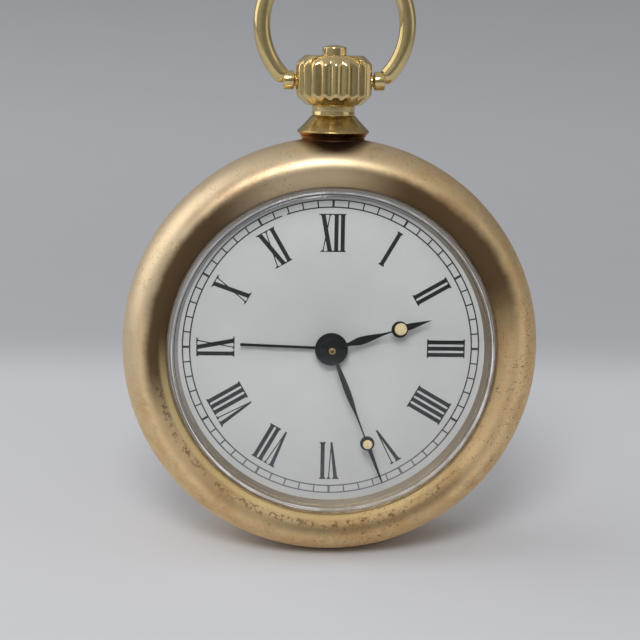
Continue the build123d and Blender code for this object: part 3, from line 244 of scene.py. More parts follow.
# Materials
class Nodes:
    """The nodes of a material or of the world while they are being put together."""

    def __init__(self, owner, coordinates):
        owner.use_nodes = True
        self.tree = owner.node_tree
        self.place = self.node("TexCoord").outputs[coordinates]

    def node(self, kind, **settings):
        node = self.tree.nodes.new("ShaderNode" + kind)
        for key, value in settings.items():
            setattr(node, key, value)
        return node

    def put(self, socket, value):
        if isinstance(value, NodeSocket):
            self.tree.links.new(value, socket)
        elif value is not None:
            socket.default_value = value

    def math(self, operation, first, *others, clamp=False):
        """One operation, repeated from left to right where there are more than two values."""
        for second in others or (None,):
            node = self.node("Math", operation=operation, use_clamp=clamp)
            self.put(node.inputs[0], first)
            self.put(node.inputs[1], second)
            first = node.outputs[0]
        return first

    def product(self, *values):
        return self.math("MULTIPLY", *values)

    def total(self, *values):
        return self.math("ADD", *values)

    def most(self, *values):
        return self.math("MAXIMUM", *values)

    def noise(self, count, detail=3.0, roughness=0.55, distortion=0.0, where=None):
        """Noise with this many features in a millimetre."""
        node = self.node("TexNoise")
        self.put(node.inputs["Vector"], where or self.place)
        numbers = (count / MM, detail, roughness, distortion)
        for name, number in zip(("Scale", "Detail", "Roughness", "Distortion"), numbers):
            node.inputs[name].default_value = number
        return node.outputs["Fac"]

    def between(self, value, low, high, start=0.0, end=1.0):
        """Start below low and end above high, with a smooth step between them."""
        node = self.node("MapRange", interpolation_type="SMOOTHSTEP")
        self.put(node.inputs["Value"], value)
        numbers = (low, high, start, end)
        for name, number in zip(("From Min", "From Max", "To Min", "To Max"), numbers):
            node.inputs[name].default_value = number
        return node.outputs["Result"]

    def band(self, distance, low, high, start=0.0, end=1.0):
        """The same for a distance, with low and high in millimetres."""
        return self.between(distance, low * MM, high * MM, start, end)

    def patches(self, texture, low, high, start=0.0, end=1.0):
        """The same for noise, given by its numbers."""
        return self.between(self.noise(*texture), low, high, start, end)

    def mixed(self, share, first, second):
        node = self.node("Mix", data_type="RGBA")
        self.put(node.inputs["Factor"], share)
        for name, shade in (("A", first), ("B", second)):
            is_even = not isinstance(shade, NodeSocket)
            self.put(node.inputs[name], (*shade[:3], 1.0) if is_even else shade)
        return node.outputs["Result"]

    def stretched(self, x, y, z):
        """Coordinates in which the texture is drawn out along the axes with a small share."""
        node = self.node("Mapping")
        self.put(node.inputs["Vector"], self.place)
        node.inputs["Scale"].default_value = (x, y, z)
        return node.outputs["Vector"]

    def parts(self):
        """The three numbers of the place."""
        node = self.node("SeparateXYZ")
        self.put(node.inputs[0], self.place)
        return node.outputs

    def vector(self, *numbers):
        node = self.node("CombineXYZ")
        for socket, number in zip(node.inputs, numbers):
            self.put(socket, number)
        return node.outputs[0]

    def towards(self, right, up):
        """Distance along a direction across the piece's third axis."""
        node = self.node("VectorMath", operation="DOT_PRODUCT")
        self.put(node.inputs[0], self.place)
        node.inputs[1].default_value = (right, up, 0)
        return node.outputs["Value"]

    def reach(self, first, second):
        """Distance of a place with these coordinates from the origin."""
        squares = (self.math("POWER", first, 2), self.math("POWER", second, 2))
        return self.math("SQRT", self.total(*squares))

    def radius(self):
        return self.reach(*self.parts()[:2])

    def round_axis(self):
        """Coordinates for turning marks: the radius, a little of the angle, and the height."""
        x, y, z = self.parts()
        return self.vector(self.radius(), self.product(self.math("ARCTAN2", y, x), 0.02 * MM), z)


class Finish(Nodes):
    """A procedural material of the Principled shader."""

    def __init__(self, name):
        self.material = bpy.data.materials.new(name)
        super().__init__(self.material, "Object")
        self.shader = self.tree.nodes["Principled BSDF"]

    def fixed(self, **values):
        """Numbers that are the same all over the surface."""
        for name, value in values.items():
            title = name.replace("_", " ").title().replace("Ior", "IOR")
            self.shader.inputs[title].default_value = value

    def driven(self, name, value):
        self.put(self.shader.inputs[name], value)

    def roughness(self, texture, low, high, threshold=0.7):
        """Roughness that changes between two numbers."""
        self.driven("Roughness", self.patches(texture, 0.3, threshold, low, high))

    def relief(self, *layers):
        """Bump from heights, each with its depth in millimetres."""
        previous = None
        for height, depth in layers:
            node = self.node("Bump")
            node.inputs["Distance"].default_value = depth * MM
            self.put(node.inputs["Height"], height)
            self.put(node.inputs["Normal"], previous)
            previous = node.outputs["Normal"]
        self.driven("Normal", previous)

    def turning_marks(self, smooth, rough, depth):
        """The surface of polished metal from a lathe."""
        self.roughness((0.8, 4), smooth, rough, 0.75)
        marks = self.noise(6, 3, 0.6, where=self.round_axis())
        self.relief((marks, depth), (self.noise(9, 2), depth * 0.5))
        self.fixed(metallic=1.0)


def worn_case_brass(colours):
    """Satin brass: paler at the upper left as a painted sheen, matte and pitted below, brown by the
    crystal, with painted highlights and painted shade in places.
    """
    # tarnish here is a painted shade colour, used to darken the lower crest
    painted_collar_shadow, tarnish, dirt = (0.03, 0.016, 0.01), (0.06, 0.035, 0.015), (0.11, 0.06, 0.03)
    stain, painted_dimming_brown = (0.13, 0.075, 0.035), (0.42, 0.27, 0.15)
    golden, painted_lip_glint, painted_highlight_brass = (0.82, 0.66, 0.37), (0.95, 0.74, 0.36), (0.99, 0.74, 0.42)
    finish = Finish("worn_case_brass")
    band, product, patches = finish.band, finish.product, finish.patches
    x, y, z = finish.parts()
    radius = finish.radius()
    front = band(z, 1.5, 3.5)
    # The brass: cloudy, paler at the upper left as a painted sheen, and brighter on both flanks as
    # a painted highlight
    cloud = patches((0.06, 4), 0.35, 0.65)
    redder = [c * share for c, share in zip(colours.case_brass, (0.94, 0.87, 0.8))]
    toned = finish.mixed(cloud, colours.case_brass, redder)
    toned = finish.mixed(patches((0.33, 4, 0.65), 0.4, 0.62, 0, 0.5), toned, golden)
    # painted sheen: paler brass towards the upper left
    toned = finish.mixed(band(finish.towards(-0.8, 0.9), 10, 36), toned, colours.case_painted_sheen)
    # painted highlight: brighter brass on both lower flanks, inside the rim's outer edge
    flank = finish.total(product(finish.math("ABSOLUTE", x), 0.94), product(y, -0.34))
    painted_flank_highlight = product(band(flank, 27.5, 31, 0, 0.8), band(radius, 33.6, 35.2, 1, 0.05))
    toned = finish.mixed(painted_flank_highlight, toned, painted_highlight_brass)
    handled = finish.total(finish.towards(0.5, -1), product(finish.noise(0.12), 16 * MM))
    matte = band(handled, -4, 18)
    # Brown tarnish by the crystal, in front only; it is made stronger on the upper half and wider
    # at two o'clock as painted shade and painted dark reflection
    ragged = product(finish.noise(0.3, 5, 0.6), 1.2 * MM)
    painted_shade_wider = band(finish.towards(0.87, 0.5), 29, 36, 0, -0.85 * MM)
    edge = band(finish.total(radius, ragged, painted_shade_wider), 32.8, 34.9, 1, 0)
    # painted shade: the brown by the crystal is stronger on the upper half, weaker below
    upper = band(finish.towards(-0.25, 1), -7, 6, 0.34, 0.96)
    from_pendant = finish.math("ABSOLUTE", finish.total(x, 4 * MM))
    aside = finish.most(band(from_pendant, 3, 18, 0.25, 1), band(y, -4, 8, 1, 0))
    tarnish_and_painted_shade = product(edge, upper, aside, front)
    # Dirt round the foot of the collar, darkened as a painted shadow and painted reflection of the
    # collar's dark bowl
    behind = product(finish.total(z, -pendant_height), 0.68)
    from_collar = finish.total(finish.reach(x, behind), product(ragged, 0.5))
    top = band(y, 34, 35.6)
    # dirt with painted shadow: brown round the collar's foot
    under = product(band(from_collar, 6.2, 8.2, 0.92, 0), top)
    blotch = patches((0.2, 5, 0.62, 0.4), 0.55, 0.72, 0, 0.2)
    smudge = product(patches((0.42, 6, 0.75), 0.48, 0.76, 0, 0.24), matte)
    # brown: real blotches and smudges together with the painted shade by the crystal and at the
    # collar
    brown = finish.most(tarnish_and_painted_shade, under, blotch, smudge)
    toned = finish.mixed(brown, toned, colours.case_patina_and_painted_shade)
    # painted shadow: near black right at the collar's foot
    toned = finish.mixed(product(band(from_collar, 5.7, 6.5, 0.97, 0), top), toned, painted_collar_shadow)
    # A painted glint as a bright line on the lower lip, a row of brown marks beside it, and painted
    # shade that dulls the lower crest
    low = product(band(finish.towards(0.4, 1), -18, -8, 1, 0), front)
    # painted glint: a bright line on the lower lip
    toned = finish.mixed(product(band(radius, 30.3, 31, 0.55, 0), low), toned, painted_lip_glint)
    row = product(band(radius, 30.7, 31), band(radius, 31.5, 32.4, 1, 0))
    marks = patches((1.1, 4, 0.65), 0.5, 0.62, 0, 0.7)
    toned = finish.mixed(product(row, low, marks), toned, stain)
    # painted shade: the lower crest is darkened with the tarnish colour
    crest = product(band(radius, 32.4, 34, 0.3, 0), low, band(x, -13, -4))
    toned = finish.mixed(crest, toned, tarnish)
    # Painted shade at eleven o'clock: brown that dims the highlight there
    to_eleven = finish.towards(-0.5, 0.87)
    at_eleven = product(band(radius, 34.2, 35.4, 1, 0), band(to_eleven, 31.5, 33.5))
    painted_shade_at_eleven = product(patches((0.25, 4, 0.6), 0.3, 0.7, 0.3, 0.75), at_eleven)
    toned = finish.mixed(painted_shade_at_eleven, toned, painted_dimming_brown)
    # Pits, and the dirt in them
    pitted = product(patches((0.09,), 0.47, 0.6, 0.25, 1), finish.between(matte, 0, 1, 0.6, 1))
    large = patches((1.5, 3, 0.6), 0.62, 0.7)
    tiny = patches((3.2, 3, 0.6), 0.58, 0.67, 0, 0.85)
    pits = product(finish.most(large, tiny), pitted)
    finish.driven("Base Color", finish.mixed(product(pits, 0.72), toned, dirt))
    smooth = finish.total(finish.between(matte, 0, 1, 0.4, 0.52), product(cloud, 0.05))
    worn = product(finish.most(pits, brown), 0.12)
    finish.driven("Roughness", finish.total(smooth, worn))
    scratches = finish.noise(5, 2, 0.5, where=finish.stretched(1, 0.05, 0.3))
    finish.relief((finish.noise(7, 3, 0.6), 0.006), (scratches, 0.005), (pits, -0.015))
    finish.fixed(metallic=1.0)


def polished_metal(name, shade, dark, roughness, mark_depth=0.003, tarnish=0.25, patches=0.45):
    """Turned and polished metal: faint marks round the axis, tarnish in patches."""
    finish = Finish(name)
    cloud = finish.patches((patches, 5, 0.6), 0.42, 0.72, 0, tarnish)
    finish.driven("Base Color", finish.mixed(cloud, shade, dark))
    finish.turning_marks(roughness * 0.75, roughness * 1.35, mark_depth)


def olive_collar_brass(colours):
    """Olive brass with dark upright streaks on the cone; the bowl under the edge has painted light
    and shade, orange at the left and dark brown in the middle.
    """
    finish = Finish("olive_collar_brass")
    x, y, z = finish.parts()
    around = finish.vector(finish.math("ARCTAN2", y, x))
    turns = 3.2 * MM
    streaks = finish.between(finish.noise(turns, 2, 0.5, where=around), 0.5, 0.66)
    fading = finish.band(z, 38.8, 40.2, 0.05, 0.6)
    cloud = finish.patches((0.6, 5, 0.6), 0.42, 0.72, 0, 0.3)
    dark = finish.most(finish.product(streaks, fading), cloud)
    cone = finish.mixed(dark, colours.collar_brass, (0.09, 0.06, 0.02))
    # painted light and shade on the bowl: orange at the left, dark brown in the middle
    painted_shade_share = finish.band(finish.total(x, 2.2 * MM), -2.6, 0.6)
    side = finish.math("SUBTRACT", painted_shade_share, finish.band(x, 1.8, 5, 0, 0.55))
    painted_lit_orange, painted_shade_brown = (0.95, 0.47, 0.15), (0.16, 0.075, 0.04)
    bowl = finish.mixed(side, painted_lit_orange, painted_shade_brown)
    below = finish.band(z, 38.3, 38.42, 1, 0)
    finish.driven("Base Color", finish.mixed(below, cone, bowl))
    finish.turning_marks(0.18, 0.32, 0.003)


def silvered_ring(colours):
    """A silvered slope: clear silver at the upper left, tan at the lower right as a painted
    reflection of the brass.
    """
    finish = Finish("silvered_ring")
    cloud = finish.product(finish.noise(0.2, 4), 10 * MM)
    # painted reflection: tan of the brass towards the lower right
    share = finish.band(finish.total(finish.towards(0.7, -1), cloud), -22, 14, 0.15, 1)
    tan = (0.36, 0.29, 0.21)
    finish.driven("Base Color", finish.mixed(share, colours.silver, tan))
    finish.roughness((0.6,), 0.4, 0.5)
    finish.fixed(metallic=1.0)


def dial_paint(colours):
    """Matte white with the faintest mottling."""
    finish = Finish("dial_paint")
    grey, dust = [c * 0.94 for c in colours.dial_white], (0.3, 0.28, 0.25)
    paint = finish.mixed(finish.patches((0.09, 5, 0.6), 0.3, 0.75), colours.dial_white, grey)
    specks = finish.patches((3, 2), 0.74, 0.8, 0, 0.12)
    finish.driven("Base Color", finish.mixed(specks, paint, dust))
    finish.roughness((0.5,), 0.5, 0.62)
    finish.relief((finish.noise(8), 0.002))


def hand_lacquer(colours):
    """Black with a fine uneven surface and a little dust."""
    finish = Finish("hand_lacquer")
    dust = finish.patches((3.2, 3, 0.6), 0.6, 0.78, 0, 0.06)
    finish.driven("Base Color", finish.mixed(dust, colours.black, (0.2, 0.18, 0.16)))
    finish.roughness((1.2,), 0.288, 0.432)
    finish.relief((finish.noise(6), 0.003))
    finish.fixed(specular_ior_level=0.12)


def numeral_ink(colours):
    """Black print, greyer and thinner at the bottom of the dial and in the minute track."""
    finish = Finish("numeral_ink")
    track = finish.band(finish.radius(), 24.6, 25, 0.3, 1)
    low = finish.band(finish.parts()[1], -26, -12, 1, 0.1)
    thin = finish.patches((1.5,), 0.35, 0.75, 0.8, 1.2)
    worn = finish.math("MULTIPLY", low, track, thin, clamp=True)
    finish.driven("Base Color", finish.mixed(worn, colours.black, (0.15, 0.155, 0.165)))
    finish.roughness((1.2,), 0.4, 0.6)
    finish.relief((finish.noise(6), 0.002))
    finish.fixed(specular_ior_level=0.12)


def aged_paste(colours):
    """Aged paste: grainy, darker where it has dried out."""
    finish = Finish("aged_paste")
    grain = finish.noise(4, 4, 0.65)
    dark = [c * share for c, share in zip(colours.lume, (0.7, 0.6, 0.5))]
    dried = finish.between(grain, 0.4, 0.75, 0, 0.7)
    finish.driven("Base Color", finish.mixed(dried, colours.lume, dark))
    finish.driven("Roughness", finish.between(grain, 0.3, 0.7, 0.7, 0.9))
    finish.relief((grain, 0.03))


def clear_crystal():
    """Clear acrylic that lets lamps through, with hairline scratches; a whitish corner and edge are
    a painted highlight, and a tan band is a painted reflection of the brass.
    """
    finish = Finish("clear_crystal")
    radius = finish.radius()
    hairlines = finish.noise(1.4, 2, 0.5, where=finish.stretched(1, 0.03, 1))
    finish.driven("Roughness", finish.between(hairlines, 0.6, 0.75, 0.0, 0.02))
    corner = finish.product(
        finish.band(radius, 28.5, 28.58), finish.band(radius, 28.64, 28.72, 1, 0)
    )
    # painted highlight: a whitish line round the crystal's corner and edge
    painted_highlight_line = finish.product(corner, finish.patches((0.3, 4), 0.3, 0.7, 0.35, 0.7))
    painted_highlight_share = finish.most(painted_highlight_line, finish.band(radius, 28.8, 29.05, 0, 0.3))
    finish.driven("Transmission Weight", finish.between(painted_highlight_share, 0, 1, 1, 0))
    glass, painted_reflection_tan = (0.97, 0.985, 1.0), (0.5, 0.43, 0.35)
    # painted reflection: a tan band of reflected brass at the crystal's edge
    painted_brass_reflection = finish.band(radius, 28.76, 28.95)
    finish.driven("Base Color", finish.mixed(painted_brass_reflection, glass, painted_reflection_tan))
    finish.fixed(ior=1.47, specular_ior_level=0.08)
    lamp_rays = finish.node("LightPath").outputs["Is Shadow Ray"]
    clear = finish.node("BsdfTransparent")
    clear.inputs["Color"].default_value = (0.94, 0.945, 0.95, 1)
    either = finish.node("MixShader")
    choices = (lamp_rays, finish.shader.outputs[0], clear.outputs[0])
    for socket, value in zip(either.inputs, choices):
        finish.put(socket, value)
    output = finish.tree.nodes["Material Output"]
    finish.put(output.inputs["Surface"], either.outputs[0])


def make_materials():
    """Every finish of the clock, made under the name that add_piece asks for."""
    colours = bpy.context.scene.desk_clock.colours
    for maker in (
        worn_case_brass, olive_collar_brass, silvered_ring, dial_paint, numeral_ink,
        hand_lacquer, aged_paste,
    ):
        maker(colours)
    clear_crystal()
    tan, brown, grey = (0.42, 0.25, 0.11), (0.22, 0.12, 0.05), (0.2, 0.18, 0.16)
    polished_metal("bright_pendant_brass", colours.polished_brass, tan, 0.14)
    polished_metal("fluted_knob_brass", colours.knob_brass, tan, 0.26)
    polished_metal("movement_plate_brass", colours.movement_brass, tan, 0.28)
    polished_metal("turned_steel", colours.steel, grey, 0.25)
    polished_metal("spun_back_brass", colours.case_brass, brown, 0.36, 0.006, 0.22, 0.05)
    pin, pin_dark = (0.2, 0.1, 0.04), (0.05, 0.03, 0.02)
    polished_metal("tarnished_pin_brass", pin, pin_dark, 0.35, tarnish=0.8)


def material(name):
    """The finish of this name. All of them are made when the first is asked for."""
    if name not in bpy.data.materials:
        make_materials()
    return bpy.data.materials[name]


# Mesh code
def turned(profile, ring=False, segments=192, reshape=None):
    """A turned form from radii and heights in metres. A ring's profile is closed on itself."""
    form = bmesh.new()
    rows = []
    for radius, height in profile:
        if radius < 1e-7:
            rows.append([form.verts.new((0, 0, height))] * segments)
            continue
        row = []
        for index in range(segments):
            turn = FULL_TURN * index / segments
            reach = reshape(turn, radius, height) if reshape else radius
            row.append(form.verts.new((reach * math.cos(turn), reach * math.sin(turn), height)))
        rows.append(row)
    pairs = list(zip(rows, rows[1:]))
    if ring:
        pairs.append((rows[-1], rows[0]))
    for lower, upper in pairs:
        for index in range(segments):
            after = (index + 1) % segments
            corners = dict.fromkeys((lower[index], lower[after], upper[after], upper[index]))
            if len(corners) > 2:
                form.faces.new(corners)
    return form


def rounded(corners, radius, steps=4, closed=False):
    """A line of corners with each corner rounded."""
    line = []
    for index, corner in enumerate(corners):
        if not closed and index in (0, len(corners) - 1):
            line.append(tuple(corner))
            continue
        here = Vector(corner)
        back = Vector(corners[index - 1]) - here
        on = Vector(corners[(index + 1) % len(corners)]) - here
        start = here + back.normalized() * min(radius, back.length * 0.48)
        end = here + on.normalized() * min(radius, on.length * 0.48)
        for step in range(steps + 1):
            share = step / steps
            point = start * (1 - share) ** 2 + here * 2 * share * (1 - share) + end * share**2
            line.append(tuple(point))
    return line


def in_scene(name, data):
    """A new object in the scene."""
    holder = bpy.data.objects.new(name, data)
    bpy.context.scene.collection.objects.link(holder)
    return holder


def mesh_of(name, form):
    """The form as a mesh. The form itself is used up."""
    mesh = bpy.data.meshes.new(name)
    form.to_mesh(mesh)
    form.free()
    return mesh


def evaluated_mesh(holder):
    """The mesh of an object with its curve or modifiers worked out."""
    bpy.context.view_layer.update()
    graph = bpy.context.evaluated_depsgraph_get()
    return bpy.data.meshes.new_from_object(holder.evaluated_get(graph))


def plate(outlines, thickness, bevel):
    """A flat plate with rounded edges, centred on its own plane. Its first outline is outermost."""
    curve = bpy.data.curves.new("plate_outline", "CURVE")
    curve.dimensions = "2D"
    curve.fill_mode = "BOTH"
    curve.extrude = thickness / 2 - bevel
    curve.bevel_depth = bevel
    curve.bevel_resolution = 2
    curve.offset = -bevel
    for outline in outlines:
        line = curve.splines.new("POLY")
        line.points.add(len(outline) - 1)
        for point, (x, y) in zip(line.points, outline):
            point.co = (x, y, 0, 1)
        line.use_cyclic_u = True
    holder = in_scene("plate_outline", curve)
    mesh = evaluated_mesh(holder)
    form = bmesh.new()
    form.from_mesh(mesh)
    bmesh.ops.remove_doubles(form, verts=form.verts, dist=1e-7)
    bpy.data.meshes.remove(mesh)
    bpy.data.objects.remove(holder)
    bpy.data.curves.remove(curve)
    return form


def turned_ring(section, radius, steps, **more):
    """A turned ring with the corners of its section rounded."""
    return turned(rounded(section, radius, steps, closed=True), ring=True, **more)


def rounded_plate(outline, radius, steps, thickness, bevel):
    """A plate with the corners of its outline rounded."""
    return plate([rounded(outline, radius, steps, closed=True)], thickness, bevel)


def joined(*forms):
    """Several forms as one."""
    whole = bmesh.new()
    for form in forms:
        mesh = mesh_of("part", form)
        whole.from_mesh(mesh)
        bpy.data.meshes.remove(mesh)
    return whole


def shifted(form, x=0.0, y=0.0, z=0.0):
    bmesh.ops.translate(form, verts=form.verts, vec=(x, y, z))
    return form


def spun(form, matrix):
    bmesh.ops.transform(form, matrix=matrix, verts=form.verts)
    return form


def level_foot(form, place):
    """Cuts the form off level with the desk."""
    back = place.inverted()
    cut = bmesh.ops.bisect_plane(
        form, geom=form.verts[:] + form.edges[:] + form.faces[:], dist=1e-8,
        plane_co=back @ Vector((0, 0, 0)), plane_no=back.to_3x3() @ Vector((0, 0, 1)),
        clear_inner=True,
    )
    edges = [item for item in cut["geom_cut"] if isinstance(item, bmesh.types.BMEdge)]
    bmesh.ops.edgeloop_fill(form, edges=edges)
    return form


def shade(mesh, crease=32):
    """Smooth shading, with an edge wherever faces meet at more than this many degrees."""
    mesh.shade_smooth()
    mesh.set_sharp_from_angle(angle=math.radians(crease))


def add_piece(name, form, place, finish, body, stands_for=(), crease=32):
    """Turns a form into a piece of the clock that rides on a body."""
    bmesh.ops.recalc_face_normals(form, faces=form.faces)
    mesh = mesh_of(name, form)
    shade(mesh, crease)
    mesh.materials.append(material(finish))
    piece = in_scene(name, mesh)
    piece.matrix_world = place
    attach(piece, body)
    if stands_for:
        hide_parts(*stands_for)
    return piece


def arc(radius_x, radius_y, start, end, steps, centre=(0.0, 0.0)):
    """Points on an elliptical arc, by degrees."""
    points = []
    for step in range(steps + 1):
        turn = math.radians(start + (end - start) * step / steps)
        reach = (radius_x * math.cos(turn), radius_y * math.sin(turn))
        points.append((centre[0] + reach[0], centre[1] + reach[1]))
    return points


def dome(edge_radius, edge_height, top, steps):
    """Points of a shallow dome, from the edge to the middle."""
    rise = top - edge_height
    sphere = (edge_radius**2 + rise**2) / (2 * rise)
    points = []
    for step in range(steps + 1):
        radius = edge_radius * (1 - step / steps)
        points.append((radius, top - sphere + math.sqrt(sphere**2 - radius**2)))
    return points


# Operators, one for each piece or group of like pieces
class ClockOperator:
    bl_options = {"REGISTER", "UNDO"}


class CLOCK_OT_case(ClockOperator, Operator):
    """Makes the rolled brass case"""

    bl_idname = "desk_clock.case"
    bl_label = "Case"

    def execute(self, context):
        case, dial = context.scene.desk_clock.case, context.scene.desk_clock.dial
        centre = (case.rim_radius, 0.0)
        to_lip = (case.lip_radius - case.rim_radius) / case.rim_half_width
        lip_turn = math.degrees(math.acos(to_lip))
        line = [(case.back_radius, -case.back_depth)]
        line += arc(case.rim_half_width, case.rim_back, -45, 0, 20, centre)
        line += arc(case.rim_half_width, case.rim_front, 0, lip_turn, 44, centre)[1:]
        lip_height = line[-1][1]
        line += [
            (case.lip_radius - 0.04 * MM, lip_height - 0.12 * MM),
            (case.lip_radius, lip_height - 0.3 * MM), (case.lip_radius, dial.height),
            (case.bore_radius, dial.height), (case.bore_radius, -case.back_depth),
        ]

        def off_axis(turn, radius, height):
            """Moves the lip with the crystal; the crest and the outside stay."""
            share = (case.rim_radius - radius) / (case.rim_radius - case.lip_radius)
            share = min(max(share, 0), 1) if height > dial.height - 0.01 * MM else 0
            away = case.crystal_right * math.cos(turn) - case.crystal_down * math.sin(turn)
            return radius + share * away

        form = level_foot(turned(line, ring=True, segments=256, reshape=off_axis), dial_place)
        add_piece(
            "rolled_case", form, dial_place, "worn_case_brass", "case", ["case_shell"]
        )
        return {"FINISHED"}


class CLOCK_OT_crystal(ClockOperator, Operator):
    """Makes the domed crystal and the sloping ring under it"""

    bl_idname = "desk_clock.crystal"
    bl_label = "Crystal and ring"

    def execute(self, context):
        case, dial = context.scene.desk_clock.case, context.scene.desk_clock.dial
        outer = case.lip_radius - 0.05 * MM
        inner = outer - case.crystal_wall
        shoulder = (outer - case.crystal_shoulder, case.crystal_edge + case.crystal_shoulder)
        outside = [(outer, dial.rehaut_top), (outer, case.crystal_edge)]
        outside += dome(*shoulder, case.crystal_top, 24)
        outside = rounded(outside[:4], 0.22 * MM, 5) + outside[4:]
        inside = [(inner, dial.rehaut_top)]
        under_edge, under_top = case.crystal_edge - 0.7 * MM, case.crystal_top - case.crystal_middle
        inside += dome(inner, under_edge, under_top, 24)
        inside = rounded(inside[:3], 0.3 * MM, 5) + inside[3:]
        form = turned(outside + inside[::-1], ring=True)
        place = dial_place @ Matrix.Translation((case.crystal_right, -case.crystal_down, 0))
        add_piece(
            "domed_crystal", form, place, "clear_crystal", "case", ["crystal"]
        )
        slope = [
            (outer, dial.height), (outer, dial.rehaut_top), (outer - 0.7 * MM, dial.rehaut_top),
            (dial.rehaut_radius, dial.height),
        ]
        ring = turned_ring(slope, 0.08 * MM, 3)
        add_piece(
            "sloping_ring", ring, place, "silvered_ring", "case", ["rehaut_ring"]
        )
        return {"FINISHED"}


class Print:
    """Flat print on the dial. It is drawn as at twelve and turned clockwise to its place."""

    def __init__(self, dial):
        self.dial = dial
        self.form = bmesh.new()
        self.turn = 0.0

    def stroke(self, corners, thickness=0.012):
        """A stroke from the corners of its outline, with its thickness in millimetres."""
        cos, sin = math.cos(self.turn), math.sin(self.turn)
        rows = []
        for height in (self.dial.height, self.dial.height + thickness * MM):
            places = [(x * cos + y * sin, y * cos - x * sin, height) for x, y in corners]
            rows.append([self.form.verts.new(place) for place in places])
        lower, upper = rows
        self.form.faces.new(upper)
        self.form.faces.new(lower[::-1])
        for index in range(len(corners)):
            after = (index + 1) % len(corners)
            self.form.faces.new((lower[index], lower[after], upper[after], upper[index]))

    def track_line(self, radius, lost_at=None):
        """A ring of strokes one degree long, left out where the print is lost."""
        inner, outer = radius - self.dial.track_line / 2, radius + self.dial.track_line / 2
        cos, sin = math.cos(math.radians(1)), math.sin(math.radians(1))
        for degree in range(360):
            if lost_at and abs((degree + 0.5 - lost_at + 180) % 360 - 180) < 0.8:
                continue
            self.turn = math.radians(degree)
            far_end = [(outer * sin, outer * cos), (inner * sin, inner * cos)]
            self.stroke([(0, inner), (0, outer)] + far_end)

    def minute(self, number):
        """A mark across the track, wider at every fifth minute."""
        half = (self.dial.track_line if number % 5 else self.dial.five_minute_mark) / 2
        low, high = self.dial.track_inner, self.dial.track_outer
        self.turn = math.radians(number * 6)
        self.stroke([(-half, low), (half, low), (half, high), (-half, high)], 0.016)

    def numeral(self, letters, hour):
        """One numeral with its feet towards the centre."""
        wide, gap = 2.0 * MM, 0.36 * MM
        self.turn = math.radians(hour * 30)
        advance = {"I": self.dial.pitch, "V": wide + gap, "X": wide + gap}
        draw = {"I": self.letter_i, "V": self.letter_v, "X": self.letter_x}
        x = -sum(advance[letter] for letter in letters) / 2
        for letter in letters:
            draw[letter](x + advance[letter] / 2, (wide - self.dial.stem) / 2)
            x += advance[letter]

    def bar(self, low_x, high_x, width, thickness=0.012, foot_share=1.0):
        """A straight stroke as high as the numeral, which may narrow towards its foot."""
        foot, head = self.dial.numeral_foot, self.dial.numeral_foot + self.dial.numeral_height
        half, low = width / 2, width / 2 * foot_share
        corners = [(low_x - low, foot), (low_x + low, foot)]
        self.stroke(corners + [(high_x + half, head), (high_x - half, head)], thickness)

    def serif(self, x, half, stem_half, at_head):
        """A hairline serif with small brackets to its stem."""
        foot, head = self.dial.numeral_foot, self.dial.numeral_foot + self.dial.numeral_height
        edge, way = (head, -1) if at_head else (foot, 1)
        bracket = 0.13 * MM
        line, end = edge + way * self.dial.hairline, edge
        edge += way * (self.dial.hairline + 1.3 * bracket)
        corners = [
            (x - half, end), (x + half, end), (x + half, line), (x + stem_half + bracket, line),
            (x + stem_half, edge), (x - stem_half, edge), (x - stem_half - bracket, line),
            (x - half, line),
        ]
        self.stroke(corners[::way], 0.014)

    def letter_i(self, x, reach):
        self.bar(x, x, self.dial.stem)
        for at_head in (False, True):
            self.serif(x, self.dial.pitch / 2, self.dial.stem / 2, at_head)

    def letter_v(self, x, reach):
        stem, hairline = self.dial.stem, self.dial.hairline
        self.bar(x + stem / 4, x - reach, stem, foot_share=0.5)
        self.bar(x + stem / 4, x + reach, hairline, 0.01)
        self.serif(x - reach, stem * 0.85, stem / 2, True)
        self.serif(x + reach, stem * 0.5, hairline / 2, True)

    def letter_x(self, x, reach):
        stem, hairline = self.dial.stem, self.dial.hairline
        self.bar(x + reach, x - reach, stem * 1.08)
        self.bar(x - reach, x + reach, hairline, 0.01)
        for side, at_head, half, stem_half in (
            (-1, True, stem, stem / 2), (1, True, stem * 0.7, hairline / 2),
            (1, False, stem, stem / 2), (-1, False, stem * 0.6, hairline / 2),
        ):
            self.serif(x + side * reach, half, stem_half, at_head)


class CLOCK_OT_dial(ClockOperator, Operator):
    """Makes the dial with its minute track and Roman numerals"""

    bl_idname = "desk_clock.dial"
    bl_label = "Dial"

    def execute(self, context):
        dial = context.scene.desk_clock.dial
        hole, front, back = 2.1 * MM, dial.height, dial.height - dial.thickness
        section = [(hole, back), (hole, front), (dial.radius, front), (dial.radius, back)]
        disc = turned_ring(section, 0.06 * MM, 2, segments=160)
        add_piece("dial_plate", disc, dial_place, "dial_paint", "case", ["dial"])
        ink = Print(dial)
        ink.track_line(dial.track_outer)
        ink.track_line(dial.track_inner, lost_at=-20.2)
        for number in range(60):
            ink.minute(number)
        for hour, letters in enumerate("XII I II III IIII V VI VII VIII IX X XI".split()):
            ink.numeral(letters, hour)
        add_piece("dial_markings", ink.form, dial_place, "numeral_ink", "case")
        return {"FINISHED"}


